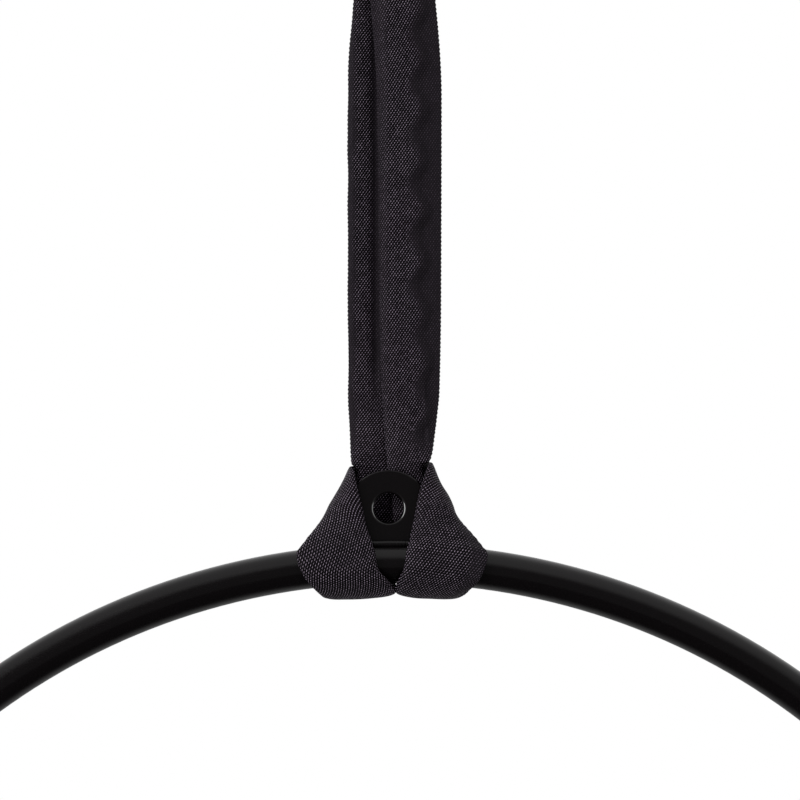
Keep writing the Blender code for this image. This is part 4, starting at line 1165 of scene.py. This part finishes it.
class HOOP_OT_connector(bpy.types.Operator):
    """Screw-gate connector: bow frame, gate, pins and knurled locking sleeve"""
    bl_idname = "hoop.connector"
    bl_label = "Connector"

    def execute(self, context):
        s = context.scene.hoop_connector
        zinc = plated_steel(s)
        steel = bare_steel(s)
        self.bow(s, zinc)
        self.gate(s, zinc)
        self.lock(s, zinc)
        pins = (("hinge_rivet", GATE_X, PIN_Z, PIN_D / 2, 0.0059, "connector_hinge_pin", "connector"),
                ("latch_rivet", LATCH_X, LATCH_Z, LATCH_D / 2, 0.0056, "connector_latch_pin", "gate"))
        for name, x, z, radius, reach, node, body in pins:
            bm = rod((x, -reach, z), (x, reach, z), radius, 24, radius * 0.35)
            piece = keep_piece(name, bm, steel)
            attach(piece, body)
            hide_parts(node)
        for node in ("connector_plunger", "connector_spring"):
            recoat(node, steel)
        return {"FINISHED"}

    def bow(self, s, mat):
        """Bent rod with a slot for the gate's tongue at its upper end and a notched nose at its lower one."""
        bm = bmesh.new()
        made = bmesh.ops.create_circle(bm, segments=s.sides, radius=ROD_R,
                                       matrix=Matrix.Translation((GATE_X, 0, NOSE_Z)))["verts"]
        first = edges_of(made)

        def draw(geom, step):
            """Draws the rod's open rim straight on; gives the new rim."""
            edges = [g for g in geom if isinstance(g, bmesh.types.BMEdge)]
            new = bmesh.ops.extrude_edge_only(bm, edges=edges)["geom"]
            verts = [g for g in new if isinstance(g, bmesh.types.BMVert)]
            bmesh.ops.translate(bm, vec=step, verts=verts)
            chosen = set(verts)
            return verts + [g for g in new if isinstance(g, bmesh.types.BMEdge)
                            and g.verts[0] in chosen and g.verts[1] in chosen]

        def turn(geom, z):
            """Takes the rim round half a turn; gives the new rim."""
            return bmesh.ops.spin(bm, geom=geom, cent=(0, 0, z), axis=(0, 1, 0), angle=math.pi, steps=40,
                                  use_merge=False)["geom_last"]

        geom = draw(first, (0, 0, BOW_LOW_Z - NOSE_Z))
        geom = turn(geom, BOW_LOW_Z)
        geom = draw(geom, (0, 0, STRAIGHT_L))
        geom = turn(geom, BOW_TOP_Z)
        geom = draw(geom, (0, 0, CLEVIS_END - BOW_TOP_Z))
        last = [g for g in geom if isinstance(g, bmesh.types.BMEdge)]
        for rim in (first, last):
            bmesh.ops.holes_fill(bm, edges=rim, sides=0)
        tidy_normals(bm)
        soften(bm, end_rims(bm), RIM_BREAK)
        slot = across_gate(THROUGH, TONGUE_T / 2 + PLAY, CLEVIS_END - 0.01, PIN_Z + SLOT_ROOF)
        steps = [("DIFFERENCE", slot),
                 ("DIFFERENCE", hinge_rod(THROUGH, PIN_D / 2 + GAP, 28)),
                 ("UNION", across_gate(0.0035, NOSE_T / 2, NOSE_Z - 0.004, NOSE_Z + 0.006)),
                 ("DIFFERENCE", block((GATE_X - 0.01, -0.01, NOSE_Z + 0.0018),
                                      (GATE_X + 0.0008, 0.01, NOSE_Z + 0.0048)))]
        piece = carve("connector_bow", bm, mat, steps)
        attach(piece, "connector")
        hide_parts("connector_frame")

    def gate(self, s, mat):
        """Bar with a flat tongue above, a fork below and the bores of its plunger and spring."""
        end = NOSE_Z + 0.0010
        shoulder = PIN_Z - 0.0090
        bore_x = GATE_X - 0.00275
        bar = rod((GATE_X, 0, end), (GATE_X, 0, shoulder), ROD_R, s.sides, RIM_BREAK)
        eye = 0.005
        low = PIN_Z - 0.023
        plunger_bore = rod((bore_x, 0, low + 0.004), (bore_x, 0, PIN_Z + THROUGH), 0.0010, 16)
        spring_bore = rod((bore_x, 0, low), (bore_x, 0, PIN_Z - 0.0106), 0.0022, 20)
        steps = [("UNION", across_gate(eye, TONGUE_T / 2, shoulder - 0.003, PIN_Z)),
                 ("UNION", hinge_rod(TONGUE_T / 2, eye - PLAY, 36)),
                 ("DIFFERENCE", hinge_rod(THROUGH, PIN_D / 2 + GAP, 28)),
                 ("DIFFERENCE", across_gate(THROUGH, NOSE_T / 2 + PLAY, end - 0.01, NOSE_Z + 0.0072)),
                 ("DIFFERENCE", plunger_bore),
                 ("DIFFERENCE", spring_bore)]
        piece = carve("connector_gate_bar", bar, mat, steps)
        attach(piece, "gate")
        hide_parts("connector_gate")

    def lock(self, s, mat):
        """Collar with a knurled middle and plain chamfered ends."""
        low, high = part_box("connector_lock_sleeve")
        bore = ROD_R + GAP
        outer = (high.x - low.x) / 2
        face = outer - RIM_BREAK
        shape = [(bore, 0.0), (bore, 1.0), (face, 1.0), (outer, 0.965)]
        shape += [(outer, t) for t in (0.88, 0.86, 0.80, 0.65, 0.5, 0.35, 0.20, 0.14, 0.12, 0.035)]
        shape.append((face, 0.0))
        span = high.z - low.z
        profile = [Vector((GATE_X + r, 0, low.z + span * t)) for r, t in shape]
        bm = turned(profile, (GATE_X, 0, 0), (0, 0, 1), s.ribs * 4)
        for vert in bm.verts:
            t = (vert.co.z - low.z) / span
            x, y = vert.co.x - GATE_X, vert.co.y
            if 0.13 < t < 0.87 and math.hypot(x, y) > outer - KNURL_DEPTH / 2:
                cut = KNURL_DEPTH * (0.5 + 0.5 * math.cos(math.atan2(y, x) * s.ribs))
                scale = (outer - cut) / math.hypot(x, y)
                vert.co.x = GATE_X + x * scale
                vert.co.y = y * scale
        piece = keep_piece("connector_lock_collar", bm, mat, sharp=30.0)
        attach(piece, "lock")
        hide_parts("connector_lock_sleeve")


class HOOP_OT_stage(bpy.types.Operator):
    """Floor, room light, lamps and camera"""
    bl_idname = "hoop.stage"
    bl_label = "Stage"

    def execute(self, context):
        s = context.scene.hoop_stage
        mat, f = new_finish("pale_floor")
        if f:
            grain = f.speckle(9.0, 3.0)
            base = f.mix(grain, [c * 0.97 for c in s.floor], s.floor)
            gloss = f.node("ShaderNodeLightPath", None, None, "Is Glossy Ray")
            place = f.node("ShaderNodeTexCoord", None, None, "Object")
            behind = f.split(place)[1]
            before = f.node("ShaderNodeMapRange", None, {0: behind, 1: -0.1, 2: 0.5, 3: 1.0, 4: 0.0})
            base = f.mix(gloss * before, base, s.floor_front)
            matt = f.node("ShaderNodeBsdfPrincipled", None,
                          {"Base Color": base, "Roughness": 0.7 + grain * 0.1, "Specular IOR Level": 0.1})
            white = f.node("ShaderNodeEmission", None, {"Strength": 1.0})
            camera = f.node("ShaderNodeLightPath", None, None, "Is Camera Ray")
            away = f.node("ShaderNodeVectorMath", {"operation": "LENGTH"}, {0: place}, "Value")
            bright = camera * (f.fade(away, 1.7, 2.5) * 0.45 + 0.55)
            f.node("ShaderNodeOutputMaterial", None,
                   {"Surface": f.node("ShaderNodeMixShader", None, {0: bright, 1: matt, 2: white})})
        bm = bmesh.new()
        bmesh.ops.create_grid(bm, x_segments=1, y_segments=1, size=3.0,
                              matrix=Matrix.Translation((0, 0, FLOOR_Z)))
        floor = keep_piece("floor", bm, mat)

        world = bpy.data.worlds.new("room")
        context.scene.world = world
        world.use_nodes = True
        f = Finish(world.node_tree)
        path = f.node("ShaderNodeLightPath", None, None, "Is Camera Ray")
        gloss = Wire(f, path.socket.node.outputs["Is Glossy Ray"])
        x, y, z = f.split(f.node("ShaderNodeTexCoord", None, None, "Generated"))
        ceiling = f.fade(z, 0.40, 0.78) * (0.8 - s.front)
        backdrop = f.fade(y, -0.2, 0.4) * (1.0 - s.front)
        shine = ceiling.larger(backdrop) + s.front
        panel = f.fade(x.size(), 0.60, 0.72) * f.fade(y, -0.2, -0.4) * f.fade(z.size(), 0.6, 0.45)
        shine = shine.larger(panel * (1.0 - x * 0.6) * s.panel)
        strength = (1.0 - path) * ((1.0 - gloss) * s.ambient + gloss * shine) + path
        glow = f.node("ShaderNodeBackground", None, {"Color": (1, 1, 1, 1), "Strength": strength})
        f.node("ShaderNodeOutputWorld", None, {"Surface": glow})

        aim = Vector((0, 0, CROWN_Z + 0.08))
        lamps = (("key", (-1.5, -1.7, 0.9), 1.8, s.key_power),
                 ("fill", (1.2, -1.6, -1.1), 1.4, s.fill_power),
                 ("top", (0.1, 0.6, 1.1), 1.5, s.fill_power))
        for name, place, size, power in lamps:
            light = bpy.data.lights.new(name, "AREA")
            light.energy = power
            light.size = size
            lamp = stand(name, light)
            lamp.visible_glossy = False     # the coat mirrors the room, not the lamps
            lamp.location = place
            lamp.rotation_euler = (aim - Vector(place)).to_track_quat("-Z", "Y").to_euler()

        cam = bpy.data.cameras.new("camera")
        cam.lens = s.lens
        cam.sensor_width = SENSOR_W
        cam.clip_start = 0.05
        cam.clip_end = 60.0
        shooter = stand("camera", cam)
        shooter.location = (CAMERA_X, -s.view_width * s.lens / SENSOR_W, CAMERA_Z)
        shooter.rotation_euler = (math.pi / 2, 0, 0)
        context.scene.camera = shooter
        context.scene.view_settings.view_transform = "Standard"
        return {"FINISHED"}


class HOOP_PT_panel(bpy.types.Panel):
    """Lists the hoop's pieces"""
    bl_idname = "HOOP_PT_panel"
    bl_label = "Aerial hoop"
    bl_space_type = "VIEW_3D"
    bl_region_type = "UI"
    bl_category = "Hoop"

    def draw(self, context):
        for step in STEPS:
            self.layout.operator(step.bl_idname)


GROUPS = {"hoop_dress": HoopSettings, "hoop_sling": SlingSettings, "hoop_connector": ConnectorSettings,
          "hoop_stage": StageSettings}
STEPS = (HOOP_OT_ring, HOOP_OT_tab, HOOP_OT_sling, HOOP_OT_join, HOOP_OT_connector, HOOP_OT_stage)


def register():
    for cls in (*GROUPS.values(), *STEPS, HOOP_PT_panel):
        bpy.utils.register_class(cls)
    for name, group in GROUPS.items():
        setattr(bpy.types.Scene, name, PointerProperty(type=group))


def unregister():
    for name in GROUPS:
        delattr(bpy.types.Scene, name)
    for cls in reversed((*GROUPS.values(), *STEPS, HOOP_PT_panel)):
        bpy.utils.unregister_class(cls)


def main():
    register()
    for step in STEPS:
        group, call = step.bl_idname.split(".")
        getattr(getattr(bpy.ops, group), call)()


if __name__ == "__main__":
    main()
